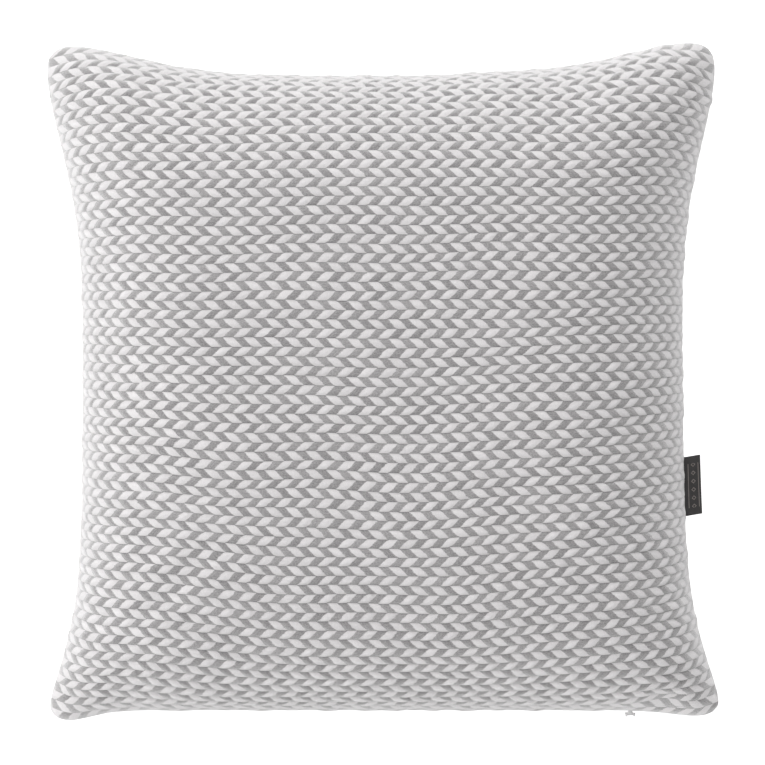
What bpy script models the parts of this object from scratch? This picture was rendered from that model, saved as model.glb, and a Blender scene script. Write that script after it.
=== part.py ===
"""Throw pillow with a knitted zip-off cover over a fibre-filled inner pad.

The pillow lies on its back: +X runs to its right, +Y to its top edge and +Z is its thickness, front
face up. The origin is the centre of the bounding box at the resting plane. All lengths are in metres.

Every sheet of cloth is a grid over the square -1..1 by -1..1. The square is laid out on the pillow's
outline and raised by one formula, then extruded round its rim to make the seam allowance that is
turned in, and given its thickness with Solidify.
"""

import math

import bmesh
import bpy
import numpy as np
from mathutils import Matrix, Vector

# --- driving sizes: overall form ---------------------------------------------------------------
HALF_SIDE = 0.2364  # centre line to the tip of a corner, before the corner is rounded
FRONT_BULGE = 0.0690  # seam plane to the crown of the front
BACK_BULGE = 0.0660  # seam plane to the surface that the pillow lies on
BACK_FREE_BULGE = 0.0690  # what the back would bulge if nothing pressed on it
CROWN_POWER = 6.0  # how flat the middle is
FLANK_POWER = 0.75  # how steeply the flanks meet the seam

# Each edge pulls in between its corners: depth, how near to the corner it starts, how fast it fades.
SIDE_PULL = 0.0262
SIDE_PULL_UPPER = (3.5, 2.6)
SIDE_PULL_LOWER = (4.9, 1.7)
TOP_PULL = 0.0217
TOP_PULL_SHAPE = (4.5, 3.2)
BOTTOM_PULL = 0.0050
BOTTOM_PULL_SHAPE = (14.0, 6.8)
CORNER_ROUND = 0.0060
CORNER_POWER = 26.0
UPPER_LOWER_BLEND = 3.0  # how quickly the upper shape turns into the lower one

# --- driving sizes: cloth ----------------------------------------------------------------------
KNIT = 0.0018  # thickness of the cover's knit
TICKING = 0.0006  # thickness of the inner pad's cloth
LAYER_GAP = 0.0005  # between cover and pad, and between pad and filling
TOUCH = 0.0003  # clearance between pieces that touch on the real pillow
SLIT = 0.00015  # half the gap between two sewn allowances
SEAM_THREAD_DEPTH = 0.0095  # clear of the folded corners' walls
ALLOWANCE_MARGIN = 0.0015  # cover's raw edge beyond the row that holds the zip tape
PAD_MARGIN = 0.0045  # zip tape's inner edge to the pad's outline
PAD_ALLOWANCE = 0.0080
PAD_THREAD_DEPTH = 0.0070
FILL_MARGIN = 0.0010  # pad's raw edge to the filling's outline
THREAD = 0.0005  # diameter of the sewing thread
OVERLOCK = 0.0004  # thickness of the overlocked edging
OVERLOCK_LEG = 0.0030

# --- driving sizes: zip ------------------------------------------------------------------------
ZIP_FROM_CORNER = 0.0612  # chain's end to the corner's tip
ZIP_CENTRE_X = 0.004
LIP_STEP = 0.0016  # the allowances part over this distance, behind the lips
CHANNEL_PLAY = 0.0002  # slider to the allowances above and below it
CHANNEL_LEAD = 0.0004  # slider to the lips
COIL_DEPTH = 0.0095  # chain's distance in from the bottom edge
COIL_WIDTH = 0.0020
COIL_HEIGHT = 0.0013
TAPE = 0.00045
TAPE_WIDTH = 0.0070
TAPE_OVERRUN = 0.008  # tape beyond each end of the chain
STOP_LENGTH = 0.0025
SLIDER_LENGTH = 0.0095
SLIDER_WALL = 0.0012
SLIDER_PLATE = 0.0006
SLIDER_PLAY = 0.00015
SLIDER_REACH = 0.0011  # plate beyond the coil, inwards
NECK_WIDTH = 0.0030
NECK_HALF = 0.00045  # half its thickness
NECK_PLAY = 0.00035  # neck to the lips
STITCH_MARGIN = 0.0006  # slider's plates to the row of stitches
PIVOT_OUT = 0.0022  # pull tab's axis outside the middle of the bottom edge
PIVOT_LEAST = 0.0017  # and at least this far outside the edge where the slider rests
PIVOT_PIN = 0.00055  # radius
PIVOT_CLEARANCE = 0.0003
EYE_WALL = 0.0006
TAB_LENGTH = 0.0230
TAB_WIDTH = 0.0070
TAB_THICKNESS = 0.0010
TAB_WINDOW = 0.0050  # length of the slot between the tab's two arms
TAB_ARM = 0.0013
TAB_HOLE = 0.0012  # radius of the hole near the tab's end
BARTACK_LENGTH = 0.0050
BARTACK_WIDTH = 0.0008

# --- driving sizes: labels ---------------------------------------------------------------------
LABEL_HEIGHT = 0.040
LABEL_OUT = 0.0105
LABEL_TAIL = 0.0110
LABEL_Y = -0.072
LABEL_CLOTH = 0.00035
CARE_WIDTH = 0.026
CARE_X = -0.130
CARE_CLOTH = 0.0003
CARE_DEPTHS = (0.0100, 0.0170, 0.0240, 0.0340, 0.0450)  # its bends, measured in from the bottom edge

# --- driving sizes: pad's closing stitch -------------------------------------------------------
CLOSING_LENGTH = 0.180  # longest that it may be; it ends at grid lines

GRID = 18  # cells along each side of every sheet
CELL = 2 * HALF_SIDE / GRID

# --- worked out: places of the seam and the zip -------------------------------------------------
SEAM_Z = BACK_BULGE
BOTTOM_Y = -(HALF_SIDE - BOTTOM_PULL)
RIGHT_X = HALF_SIDE - SIDE_PULL
LABEL_SLIT = TOUCH / 2 + LABEL_CLOTH + TOUCH

# Heights in the zip, from the seam plane outwards on each half.
COIL_LOW = TOUCH / 2
COIL_HIGH = COIL_LOW + COIL_HEIGHT
TAPE_LOW = COIL_HIGH + TOUCH
TAPE_HIGH = TAPE_LOW + TAPE
PLATE_LOW = TAPE_HIGH + SLIDER_PLAY
PLATE_HIGH = PLATE_LOW + SLIDER_PLATE
CHANNEL_HALF = PLATE_HIGH + CHANNEL_PLAY
ZIP_SLIT = NECK_HALF + NECK_PLAY

# Distances in from the bottom edge.
SLIDER_INNER = COIL_DEPTH - TOUCH
SLIDER_OUTER = SLIDER_INNER - SLIDER_WALL
SLIDER_BACK = COIL_DEPTH + COIL_WIDTH + SLIDER_REACH
CHANNEL_START = SLIDER_OUTER - CHANNEL_LEAD
LIP = CHANNEL_START - LIP_STEP
STITCH_ROW = SLIDER_BACK + STITCH_MARGIN + THREAD / 2
ALLOWANCE = STITCH_ROW + ALLOWANCE_MARGIN
PAD_INSET = COIL_DEPTH + TAPE_WIDTH + PAD_MARGIN
FILL_INSET = PAD_INSET + PAD_ALLOWANCE + FILL_MARGIN
PAD_DEPTH = KNIT + LAYER_GAP
FILL_DEPTH = PAD_DEPTH + TICKING + LAYER_GAP

# Places along the zip.
CHAIN_LENGTH = 2 * (HALF_SIDE - ZIP_FROM_CORNER)
CHAIN_LEFT = ZIP_CENTRE_X - CHAIN_LENGTH / 2
CHAIN_RIGHT = ZIP_CENTRE_X + CHAIN_LENGTH / 2
TAPE_END = CHAIN_LENGTH / 2 + TAPE_OVERRUN
ZIP_OPEN = TAPE_END + CELL  # the lips are parted at every grid line up to here, from the zip's centre
ZIP_SEWN = ZIP_OPEN + CELL / 6  # and meet from here on
SLIDER_X = CHAIN_RIGHT - SLIDER_LENGTH / 2 - TOUCH
DRAWN_IN_AT_SLIDER = BOTTOM_PULL * (1 - (SLIDER_X / HALF_SIDE) ** BOTTOM_PULL_SHAPE[0]) ** BOTTOM_PULL_SHAPE[1]
EDGE_AT_SLIDER = DRAWN_IN_AT_SLIDER - HALF_SIDE
PIVOT_Y = min(BOTTOM_Y - PIVOT_OUT, EDGE_AT_SLIDER - PIVOT_LEAST)
EYE_RADIUS = PIVOT_PIN + PIVOT_CLEARANCE + EYE_WALL


# --- helpers -----------------------------------------------------------------------------------
def clear_scene():
    for old in list(bpy.data.objects):
        bpy.data.objects.remove(old)


def new_collection(name):
    collection = bpy.data.collections.new(name)
    bpy.context.scene.collection.children.link(collection)
    return collection


def material(name, colour, roughness, metallic=0.0):
    """A plain Principled BSDF."""
    made = bpy.data.materials.new(name)
    made.use_nodes = True
    shader = made.node_tree.nodes["Principled BSDF"]
    shader.inputs["Base Color"].default_value = (*colour, 1.0)
    shader.inputs["Roughness"].default_value = roughness
    shader.inputs["Metallic"].default_value = metallic
    return made


def adopt(obj, name, finish, collection=None):
    """Names an object, gives it its material and moves it to its collection."""
    obj.name = name
    obj.data.name = name
    obj.data.materials.clear()
    obj.data.materials.append(finish)
    for old in list(obj.users_collection):
        old.objects.unlink(obj)
    (collection or PARTS).objects.link(obj)
    return obj


def box(name, low, high, finish, collection=None):
    """A block between two corners, with its size applied to the mesh."""
    low = np.array(low)
    high = np.array(high)
    bpy.ops.mesh.primitive_cube_add(size=1, location=(low + high) / 2)
    obj = bpy.context.object
    obj.data.transform(Matrix.Diagonal((*(high - low), 1.0)))
    return adopt(obj, name, finish, collection)


def bevel(obj, width, segments=2):
    modifier = obj.modifiers.new("Rounded edges", "BEVEL")
    modifier.width = width
    modifier.segments = segments
    modifier.limit_method = "ANGLE"


def boolean(obj, other, operation):
    modifier = obj.modifiers.new(operation.title(), "BOOLEAN")
    modifier.operation = operation
    modifier.object = other
    other.hide_render = True
    other.display_type = "WIRE"


def rod_along_x(name, radius, length):
    """A cutter or an addition on the pull tab's axis."""
    bpy.ops.mesh.primitive_cylinder_add(
        vertices=16, radius=radius, depth=length, location=(SLIDER_X, PIVOT_Y, SEAM_Z),
        rotation=(0, math.pi / 2, 0))
    obj = bpy.context.object
    obj.data.shade_smooth()
    obj.data.set_sharp_from_angle(angle=math.radians(40))
    return adopt(obj, name, METAL_FINISH, CUTTERS)


# --- the pillow's form -------------------------------------------------------------------------
def spread(share):
    """Moves evenly spaced grid lines towards the seams, where the surface turns fastest."""
    return 0.45 * share + 0.55 * np.sin(np.pi / 2 * share)


def pull(along, depth, start, fade):
    """How far an edge is drawn in at a place along it, from -1 at one corner to 1 at the other."""
    return depth * np.clip(1 - np.abs(along) ** start, 0, 1) ** fade


def outline(u, v, inset=0.0):
    """Plan position of a point of the square, with the whole outline moved in by inset."""
    upper = 0.5 + 0.5 * np.tanh(UPPER_LOWER_BLEND * v)
    reach = HALF_SIDE - inset - CORNER_ROUND * np.abs(u * v) ** CORNER_POWER
    side = upper * pull(v, SIDE_PULL, *SIDE_PULL_UPPER) + (1 - upper) * pull(v, SIDE_PULL, *SIDE_PULL_LOWER)
    end = np.where(v > 0, pull(u, TOP_PULL, *TOP_PULL_SHAPE), pull(u, BOTTOM_PULL, *BOTTOM_PULL_SHAPE))
    x = u * reach - np.sign(u) * side * u**2
    y = v * reach - np.sign(v) * end * v**2
    return x, y


def rise(u, v):
    """Share of the full bulge: 0 along the seam, close to 1 over the broad middle."""
    return ((1 - np.abs(u) ** CROWN_POWER) * (1 - np.abs(v) ** CROWN_POWER)).clip(0) ** FLANK_POWER


def fade(value, full, none):
    """1 up to full, 0 from none on, eased between."""
    share = ((none - value) / (none - full)).clip(0, 1)
    return share * share * (3 - 2 * share)


def zip_share(x, v):
    """1 where the bottom seam is left open for the zip."""
    return np.where(v < -0.999, fade(np.abs(x - ZIP_CENTRE_X), ZIP_OPEN, ZIP_SEWN), 0.0)


def label_share(y, u):
    """1 where the right seam holds the side label."""
    full = LABEL_HEIGHT / 2 + CELL
    return np.where(u > 0.999, fade(np.abs(y - LABEL_Y), full, full + CELL), 0.0)


def cover_slit(u, v, channel=False):
    """Half the gap between the cover's two allowances, at the lips or over the slider's channel."""
    x, y = outline(u, v)
    opened = CHANNEL_HALF if channel else ZIP_SLIT
    zipped = zip_share(x, v)
    labelled = label_share(y, u)
    return SLIT + (opened - SLIT) * zipped + (LABEL_SLIT - SLIT) * labelled


def pad_slit(u, v, channel=False):
    return SLIT + 0 * u


def bulge(u, v, depth, side):
    """Height of a layer that lies depth inside the outer surface, measured from the seam plane."""
    if side > 0:
        return (FRONT_BULGE - depth) * rise(u, v)
    free = (BACK_FREE_BULGE - depth) * rise(u, v)
    return -np.minimum(free, BACK_BULGE - depth)


def sheet_mesh(rings):
    """A grid whose rim is extruded rings times; z holds each point's ring number."""
    bpy.ops.mesh.primitive_grid_add(x_subdivisions=GRID, y_subdivisions=GRID, size=2)
    obj = bpy.context.object
    mesh = bmesh.new()
    mesh.from_mesh(obj.data)
    for ring in range(1, rings + 1):
        rim = [edge for edge in mesh.edges if edge.is_boundary]
        made = bmesh.ops.extrude_edge_only(mesh, edges=rim)["geom"]
        for point in made:
            if isinstance(point, bmesh.types.BMVert):
                point.co.z = ring
    bmesh.ops.recalc_face_normals(mesh, faces=mesh.faces)
    mesh.to_mesh(obj.data)
    mesh.free()
    return obj


def face_outwards(obj, side):
    """Turns the sheet's faces so that its middle faces away from the pillow's inside."""
    mesh = bmesh.new()
    mesh.from_mesh(obj.data)
    mesh.faces.ensure_lookup_table()
    middle = max(mesh.faces, key=lambda face: side * face.calc_center_median().z)
    if middle.normal.z * side < 0:
        bmesh.ops.reverse_faces(mesh, faces=mesh.faces)
    mesh.to_mesh(obj.data)
    mesh.free()


def folded_panel(name, side, inset, depth, cloth, ring_depths, slit, finish):
    """One panel with its seam allowance turned in.

    ring_depths are the distances from the panel's edge to each line of the allowance, outermost first.
    """
    obj = sheet_mesh(len(ring_depths))
    points = np.empty(len(obj.data.vertices) * 3)
    obj.data.vertices.foreach_get("co", points)
    points = points.reshape(-1, 3)
    u = spread(points[:, 0])
    v = spread(points[:, 1])
    ring = points[:, 2].round().astype(int)
    depths = np.array([0.0, *ring_depths])[ring]
    x, y = outline(u, v, inset + depths)
    height = np.where(ring > 1, slit(u, v, channel=True), slit(u, v))
    swell = bulge(u, v, depth, side)
    z = np.where(ring > 0, side * height, swell + side * height * (1 - rise(u, v)))
    flat = np.stack([x, y, SEAM_Z + z], axis=1)
    obj.data.vertices.foreach_set("co", flat.ravel())
    obj.data.update()
    face_outwards(obj, side)
    wall = obj.modifiers.new("Cloth", "SOLIDIFY")
    wall.thickness = cloth
    wall.offset = -1
    wall.use_even_offset = True
    wall.use_quality_normals = True
    obj.data.shade_smooth()
    return adopt(obj, name, finish)


def seam_nodes():
    """The grid's own places along a side, so that a thread follows the same straight facets."""
    return spread(np.linspace(-1, 1, GRID + 1))


def three_sides():
    """Square coordinates from the bottom right corner up, across the top and down to the bottom left."""
    along = seam_nodes()
    one = np.ones(GRID + 1)
    u = np.concatenate([one, -along[1:], -one[1:]])
    v = np.concatenate([along, one[1:], -along[1:]])
    return u, v


def all_sides():
    u, v = three_sides()
    along = seam_nodes()
    return np.concatenate([u, along[1:-1]]), np.concatenate([v, -np.ones(GRID - 1)])


def thread(name, points, finish, closed=False, diameter=THREAD):
    """A length of sewing thread through the given points."""
    curve = bpy.data.curves.new(name, "CURVE")
    curve.dimensions = "3D"
    curve.bevel_depth = diameter / 2
    curve.bevel_resolution = 1
    curve.use_fill_caps = True
    spline = curve.splines.new("POLY")
    spline.points.add(len(points) - 1)
    spline.points.foreach_set("co", np.column_stack([points, np.ones(len(points))]).ravel())
    spline.use_cyclic_u = closed
    obj = bpy.data.objects.new(name, curve)
    bpy.context.scene.collection.objects.link(obj)
    return adopt(obj, name, finish)


# --- cover -------------------------------------------------------------------------------------
def cover_panel(name, side):
    rings = (LIP, CHANNEL_START, ALLOWANCE)
    return folded_panel(name, side, 0.0, 0.0, KNIT, rings, cover_slit, KNIT_FINISH)


def cover_seam_thread(name, side):
    """Lies on the inner face of one allowance, round the three sewn sides."""
    u, v = three_sides()
    x, y = outline(u, v, SEAM_THREAD_DEPTH)
    z = SEAM_Z + side * (cover_slit(u, v) + KNIT + TOUCH + THREAD / 2)
    return thread(name, np.column_stack([x, y, z]), THREAD_FINISH)


def overlock_edging():
    """A band wrapped round both raw edges along the three sewn sides, with a C-shaped section."""
    u, v = three_sides()
    leg = ALLOWANCE + TOUCH
    bpy.ops.mesh.primitive_grid_add(x_subdivisions=len(u) - 1, y_subdivisions=3, size=2)
    obj = bpy.context.object
    points = np.empty(len(obj.data.vertices) * 3)
    obj.data.vertices.foreach_get("co", points)
    points = points.reshape(-1, 3)
    station = ((points[:, 0] + 1) / 2 * (len(u) - 1)).round().astype(int)
    across = ((points[:, 1] + 1) / 2 * 3).round().astype(int)
    depth = np.where((across == 0) | (across == 3), leg - OVERLOCK_LEG, leg)
    x, y = outline(u[station], v[station], depth)
    half = cover_slit(u[station], v[station]) + KNIT + TOUCH
    z = SEAM_Z + np.where(across < 2, half, -half)
    obj.data.vertices.foreach_set("co", np.column_stack([x, y, z]).ravel())
    obj.data.update()
    wall = obj.modifiers.new("Thread band", "SOLIDIFY")
    wall.thickness = OVERLOCK
    wall.offset = 1
    wall.use_even_offset = True
    return adopt(obj, "cover_overlock_thread", THREAD_FINISH)


# --- labels ------------------------------------------------------------------------------------
def strip(name, profile, low, high, across, cloth, finish):
    """A strip of cloth: profile is a list of (depth, height) points, carried from low to high.

    across is 0 for a strip that is wide along X and 1 for one that is wide along Y.
    """
    bpy.ops.mesh.primitive_grid_add(x_subdivisions=len(profile) - 1, y_subdivisions=1, size=2)
    obj = bpy.context.object
    points = np.empty(len(obj.data.vertices) * 3)
    obj.data.vertices.foreach_get("co", points)
    points = points.reshape(-1, 3)
    station = ((points[:, 0] + 1) / 2 * (len(profile) - 1)).round().astype(int)
    shape = np.array(profile)[station]
    place = np.where(points[:, 1] < 0, low, high)
    flat = np.column_stack([place, shape] if across == 0 else [shape[:, 0], place, shape[:, 1]])
    obj.data.vertices.foreach_set("co", flat.ravel())
    obj.data.update()
    wall = obj.modifiers.new("Cloth", "SOLIDIFY")
    wall.thickness = cloth
    wall.offset = 0
    wall.use_even_offset = True
    obj.data.shade_smooth()
    return adopt(obj, name, finish)


def side_label():
    """A woven ribbon folded in half, its two tails held between the right seam's allowances."""
    middle = (TOUCH + LABEL_CLOTH) / 2
    tip = RIGHT_X + LABEL_OUT - middle - LABEL_CLOTH / 2
    tail = RIGHT_X - LABEL_TAIL
    turn = np.linspace(np.pi / 2, -np.pi / 2, 5)
    fold = list(zip(tip + middle * np.cos(turn), SEAM_Z + middle * np.sin(turn)))
    profile = [(tail, SEAM_Z + middle), *fold, (tail, SEAM_Z - middle)]
    low = LABEL_Y - LABEL_HEIGHT / 2
    high = LABEL_Y + LABEL_HEIGHT / 2
    return strip("side_label", profile, low, high, 1, LABEL_CLOTH, LABEL_FINISH)


def back_height(x, y, inset, depth):
    """Height of a layer of the back, below the seam plane, at a place near the bottom edge."""
    v = np.linspace(-1, 0, 101)
    u = np.full(len(v), x / HALF_SIDE)
    _, line = outline(u, v, inset)
    return float(np.interp(y, line, bulge(u, v, depth, -1)))


def care_label():
    """Starts under the back allowance by the zip and falls midway between the cover and the pad."""
    start = -(CHANNEL_HALF + KNIT + TOUCH + CARE_CLOTH / 2)
    profile = []
    for depth in CARE_DEPTHS:
        y = BOTTOM_Y + depth
        middle = (back_height(CARE_X, y, 0.0, KNIT) + back_height(CARE_X, y, PAD_INSET, PAD_DEPTH)) / 2
        under_allowance = depth < ALLOWANCE
        profile.append((y, SEAM_Z + (start if under_allowance else min(start, middle))))
    low = CARE_X - CARE_WIDTH / 2
    high = CARE_X + CARE_WIDTH / 2
    return strip("care_label", profile, low, high, 0, CARE_CLOTH, CARE_FINISH)


# --- zip ---------------------------------------------------------------------------------------

def zip_box(name, side, x_low, x_high, near, far, z_low, z_high, finish):
    """A straight piece of the zip: depths in from the bottom edge, heights from the seam plane."""
    ends = sorted((SEAM_Z + side * z_low, SEAM_Z + side * z_high))
    return box(name, (x_low, BOTTOM_Y + near, ends[0]), (x_high, BOTTOM_Y + far, ends[1]), finish)


def zip_half(half, side):
    """One half of the zip: tape, coil, top stop and the stitching that holds the tape."""
    coil_end = COIL_DEPTH + COIL_WIDTH
    zip_box(f"zip_tape_{half}", side, ZIP_CENTRE_X - TAPE_END, ZIP_CENTRE_X + TAPE_END,
            COIL_DEPTH - TOUCH / 2, COIL_DEPTH + TAPE_WIDTH, TAPE_LOW, TAPE_HIGH, TAPE_FINISH)
    coil = zip_box(f"zip_coil_{half}", side, CHAIN_LEFT, CHAIN_RIGHT,
                   COIL_DEPTH, coil_end, COIL_LOW, COIL_HIGH, COIL_FINISH)
    bevel(coil, 0.3 * COIL_HEIGHT)
    stop_start = CHAIN_RIGHT + TOUCH
    stop = zip_box(f"zip_top_stop_{half}", side, stop_start, stop_start + STOP_LENGTH,
                   COIL_DEPTH, coil_end, COIL_LOW, COIL_HIGH, METAL_FINISH)
    bevel(stop, 0.2 * COIL_HEIGHT)
    height = SEAM_Z + side * (TAPE_HIGH + CHANNEL_HALF) / 2
    ends = (CHAIN_LEFT - TAPE_OVERRUN / 2, CHAIN_RIGHT + TAPE_OVERRUN / 2)
    row = np.array([(x, BOTTOM_Y + STITCH_ROW, height) for x in ends])
    thread(f"zip_stitching_{half}", row, THREAD_FINISH)


def zip_bottom_stop():
    end = CHAIN_LEFT - TOUCH
    stop = zip_box("zip_bottom_stop", 1, end - STOP_LENGTH, end,
                   COIL_DEPTH, COIL_DEPTH + COIL_WIDTH, -COIL_HIGH, COIL_HIGH, METAL_FINISH)
    bevel(stop, 0.2 * COIL_HEIGHT)


def about_slider(name, half_width, y_low, y_high, z_low, z_high, collection=None):
    """A block centred on the slider along the zip, heights from the seam plane."""
    return box(name, (SLIDER_X - half_width, y_low, SEAM_Z + z_low),
               (SLIDER_X + half_width, y_high, SEAM_Z + z_high), METAL_FINISH, collection)


def zip_slider():
    """C-shaped body round both coils, with a neck through the lips and a pin for the pull tab."""
    half = SLIDER_LENGTH / 2
    outer = BOTTOM_Y + SLIDER_OUTER
    inner = BOTTOM_Y + SLIDER_INNER
    back = BOTTOM_Y + SLIDER_BACK
    past = SLIDER_WALL  # how far the channel's cutter runs past the body
    body = about_slider("zip_slider_body", half, outer, back, -PLATE_HIGH, PLATE_HIGH)
    channel = about_slider("slider_channel", half + past, inner, back + past, -PLATE_LOW, PLATE_LOW, CUTTERS)
    neck = about_slider("slider_neck", NECK_WIDTH / 2, PIVOT_Y, outer + SLIDER_WALL / 2,
                        -NECK_HALF, NECK_HALF, CUTTERS)
    boolean(body, channel, "DIFFERENCE")
    boolean(body, neck, "UNION")
    boolean(body, rod_along_x("slider_pin", PIVOT_PIN, TAB_WIDTH), "UNION")
    return body


def pull_tab(axis):
    """Hangs from the slider's pin by two eyed arms. Its origin is on the pin's axis."""
    half = TAB_THICKNESS / 2
    reach = 2 * EYE_RADIUS
    plate = about_slider("zip_pull_tab", TAB_WIDTH / 2, PIVOT_Y - half, PIVOT_Y + half, -TAB_LENGTH, 0)
    window = about_slider("tab_window", TAB_WIDTH / 2 - TAB_ARM, PIVOT_Y - reach, PIVOT_Y + reach,
                          -TAB_WINDOW, reach, CUTTERS)
    bpy.ops.mesh.primitive_cylinder_add(
        vertices=16, radius=TAB_HOLE, depth=4 * TAB_THICKNESS, rotation=(math.pi / 2, 0, 0),
        location=(SLIDER_X, PIVOT_Y, SEAM_Z - TAB_LENGTH + 2.4 * TAB_HOLE))
    hole = adopt(bpy.context.object, "tab_hole", METAL_FINISH, CUTTERS)
    boolean(plate, rod_along_x("tab_eye", EYE_RADIUS, TAB_WIDTH), "UNION")
    boolean(plate, window, "DIFFERENCE")
    boolean(plate, rod_along_x("tab_bore", PIVOT_PIN + PIVOT_CLEARANCE, 2 * TAB_WIDTH), "DIFFERENCE")
    boolean(plate, hole, "DIFFERENCE")
    move_origin(plate, axis.location)
    plate.location = (0, 0, 0)
    plate.parent = axis
    return plate


def move_origin(obj, place):
    """Sets an object's origin without moving its shape."""
    shift = obj.location - Vector(place)
    obj.data.transform(Matrix.Translation(shift))
    obj.location = place


def zip_bartack(name, end):
    """A bar of thread across the mouth, where the opening for the zip stops."""
    x = ZIP_CENTRE_X + end * (TAPE_END + BARTACK_WIDTH)
    u = np.array([x / HALF_SIDE])
    _, edge = outline(u, np.array([-1.0]))
    outer = float(edge[0]) - TOUCH
    tack = box(name, (x - BARTACK_WIDTH / 2, outer - THREAD, SEAM_Z - BARTACK_LENGTH / 2),
               (x + BARTACK_WIDTH / 2, outer, SEAM_Z + BARTACK_LENGTH / 2), THREAD_FINISH)
    bevel(tack, THREAD / 4)


# --- inner pad ---------------------------------------------------------------------------------
def pad_panel(name, side):
    rings = (PAD_ALLOWANCE / 2, PAD_ALLOWANCE)
    return folded_panel(name, side, PAD_INSET, PAD_DEPTH, TICKING, rings, pad_slit, TICKING_FINISH)


def pad_seam_thread():
    u, v = all_sides()
    x, y = outline(u, v, PAD_INSET + PAD_THREAD_DEPTH)
    z = np.full(len(u), SEAM_Z + SLIT + TICKING + TOUCH + THREAD / 2)
    thread("insert_seam_thread", np.column_stack([x, y, z]), THREAD_FINISH, closed=True)


def pad_closing_stitch():
    """Runs along the outside of the pad's top edge, over the gap that it was filled through."""
    u = seam_nodes()
    u = u[np.abs(u) * (HALF_SIDE - PAD_INSET) <= CLOSING_LENGTH / 2]
    x, y = outline(u, np.ones(len(u)), PAD_INSET)
    y = y + TOUCH + THREAD / 2
    thread("insert_closing_stitch", np.column_stack([x, y, np.full(len(u), SEAM_Z)]), THREAD_FINISH)


def fibre_fill():
    """One closed body: the front and the back surface joined along their edge."""
    bpy.ops.mesh.primitive_grid_add(x_subdivisions=GRID, y_subdivisions=GRID, size=2)
    obj = bpy.context.object
    mesh = bmesh.new()
    mesh.from_mesh(obj.data)
    copied = bmesh.ops.duplicate(mesh, geom=mesh.verts[:] + mesh.edges[:] + mesh.faces[:])["geom"]
    below = [item for item in copied if isinstance(item, bmesh.types.BMVert)]
    under = [item for item in copied if isinstance(item, bmesh.types.BMFace)]
    for point in mesh.verts:
        point.co.z = 1
    for point in below:
        point.co.z = -1
    bmesh.ops.reverse_faces(mesh, faces=under)
    mesh.to_mesh(obj.data)
    points = np.array([tuple(point.co) for point in mesh.verts])
    u = spread(points[:, 0])
    v = spread(points[:, 1])
    x, y = outline(u, v, FILL_INSET)
    z = np.where(points[:, 2] > 0, bulge(u, v, FILL_DEPTH, 1), bulge(u, v, FILL_DEPTH, -1))
    for point, place in zip(mesh.verts, np.column_stack([x, y, SEAM_Z + z])):
        point.co = place
    bmesh.ops.remove_doubles(mesh, verts=mesh.verts, dist=1e-6)
    mesh.to_mesh(obj.data)
    mesh.free()
    obj.data.shade_smooth()
    return adopt(obj, "fibre_fill", FILL_FINISH)


# --- assembly ----------------------------------------------------------------------------------
clear_scene()
PARTS = new_collection("throw_pillow")
CUTTERS = new_collection("cutters")

KNIT_FINISH = material("pale grey knit", (0.55, 0.54, 0.53), 0.85)
THREAD_FINISH = material("grey thread", (0.45, 0.45, 0.44), 0.6)
LABEL_FINISH = material("black satin ribbon", (0.025, 0.022, 0.022), 0.5)
CARE_FINISH = material("white ribbon", (0.80, 0.80, 0.78), 0.6)
TAPE_FINISH = material("grey zip tape", (0.40, 0.40, 0.39), 0.8)
COIL_FINISH = material("grey nylon coil", (0.38, 0.38, 0.37), 0.35)
METAL_FINISH = material("lacquered zip metal", (0.42, 0.42, 0.41), 0.35, 0.9)
TICKING_FINISH = material("white ticking", (0.78, 0.78, 0.76), 0.8)
FILL_FINISH = material("white fibre", (0.85, 0.85, 0.83), 0.95)

cover_panel("cover_front_panel", 1)
cover_panel("cover_back_panel", -1)
cover_seam_thread("cover_seam_needle_thread", 1)
cover_seam_thread("cover_seam_bobbin_thread", -1)
overlock_edging()
side_label()
care_label()
zip_half("front", 1)
zip_half("back", -1)
zip_bottom_stop()
zip_slider()
tab_axis = bpy.data.objects.new("pull_tab_axis", None)
tab_axis.location = (SLIDER_X, PIVOT_Y, SEAM_Z)
PARTS.objects.link(tab_axis)
pull_tab(tab_axis)
zip_bartack("zip_bartack_left", -1)
zip_bartack("zip_bartack_right", 1)
pad_panel("insert_front_panel", 1)
pad_panel("insert_back_panel", -1)
pad_seam_thread()
pad_closing_stitch()
fibre_fill()
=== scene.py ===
"""Throw pillow with its finished surfaces: knitted zip-off cover, woven label, zip and fibre-filled pad.

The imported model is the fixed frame, and every piece here is worked out in that frame, in metres: +X runs
to the pillow's right, +Y to its top edge and +Z out of its front face. Sheets are grids over the square
-1..1 by -1..1, which one formula lays out on the pillow's outline and raises to its crown.
"""

import math

import bpy
import numpy as np
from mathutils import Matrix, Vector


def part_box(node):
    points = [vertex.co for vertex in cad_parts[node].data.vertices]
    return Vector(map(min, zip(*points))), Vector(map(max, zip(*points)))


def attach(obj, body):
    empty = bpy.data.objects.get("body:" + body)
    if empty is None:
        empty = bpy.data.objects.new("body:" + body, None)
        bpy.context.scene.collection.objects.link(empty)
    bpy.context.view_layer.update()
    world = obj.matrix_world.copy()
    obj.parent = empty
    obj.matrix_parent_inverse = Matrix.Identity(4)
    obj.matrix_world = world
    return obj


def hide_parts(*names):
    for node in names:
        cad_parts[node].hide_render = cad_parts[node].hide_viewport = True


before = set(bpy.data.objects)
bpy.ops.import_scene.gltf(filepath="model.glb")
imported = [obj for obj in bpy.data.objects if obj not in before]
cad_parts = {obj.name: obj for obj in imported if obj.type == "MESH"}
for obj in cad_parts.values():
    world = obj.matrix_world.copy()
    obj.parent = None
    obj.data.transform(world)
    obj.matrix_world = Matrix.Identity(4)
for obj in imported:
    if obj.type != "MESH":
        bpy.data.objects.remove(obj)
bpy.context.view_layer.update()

# --- places read from the frame ----------------------------------------------------------------
LABEL_LOW, LABEL_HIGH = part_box("side_label")
TAPE_LOW, TAPE_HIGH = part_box("zip_tape_front")
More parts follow.
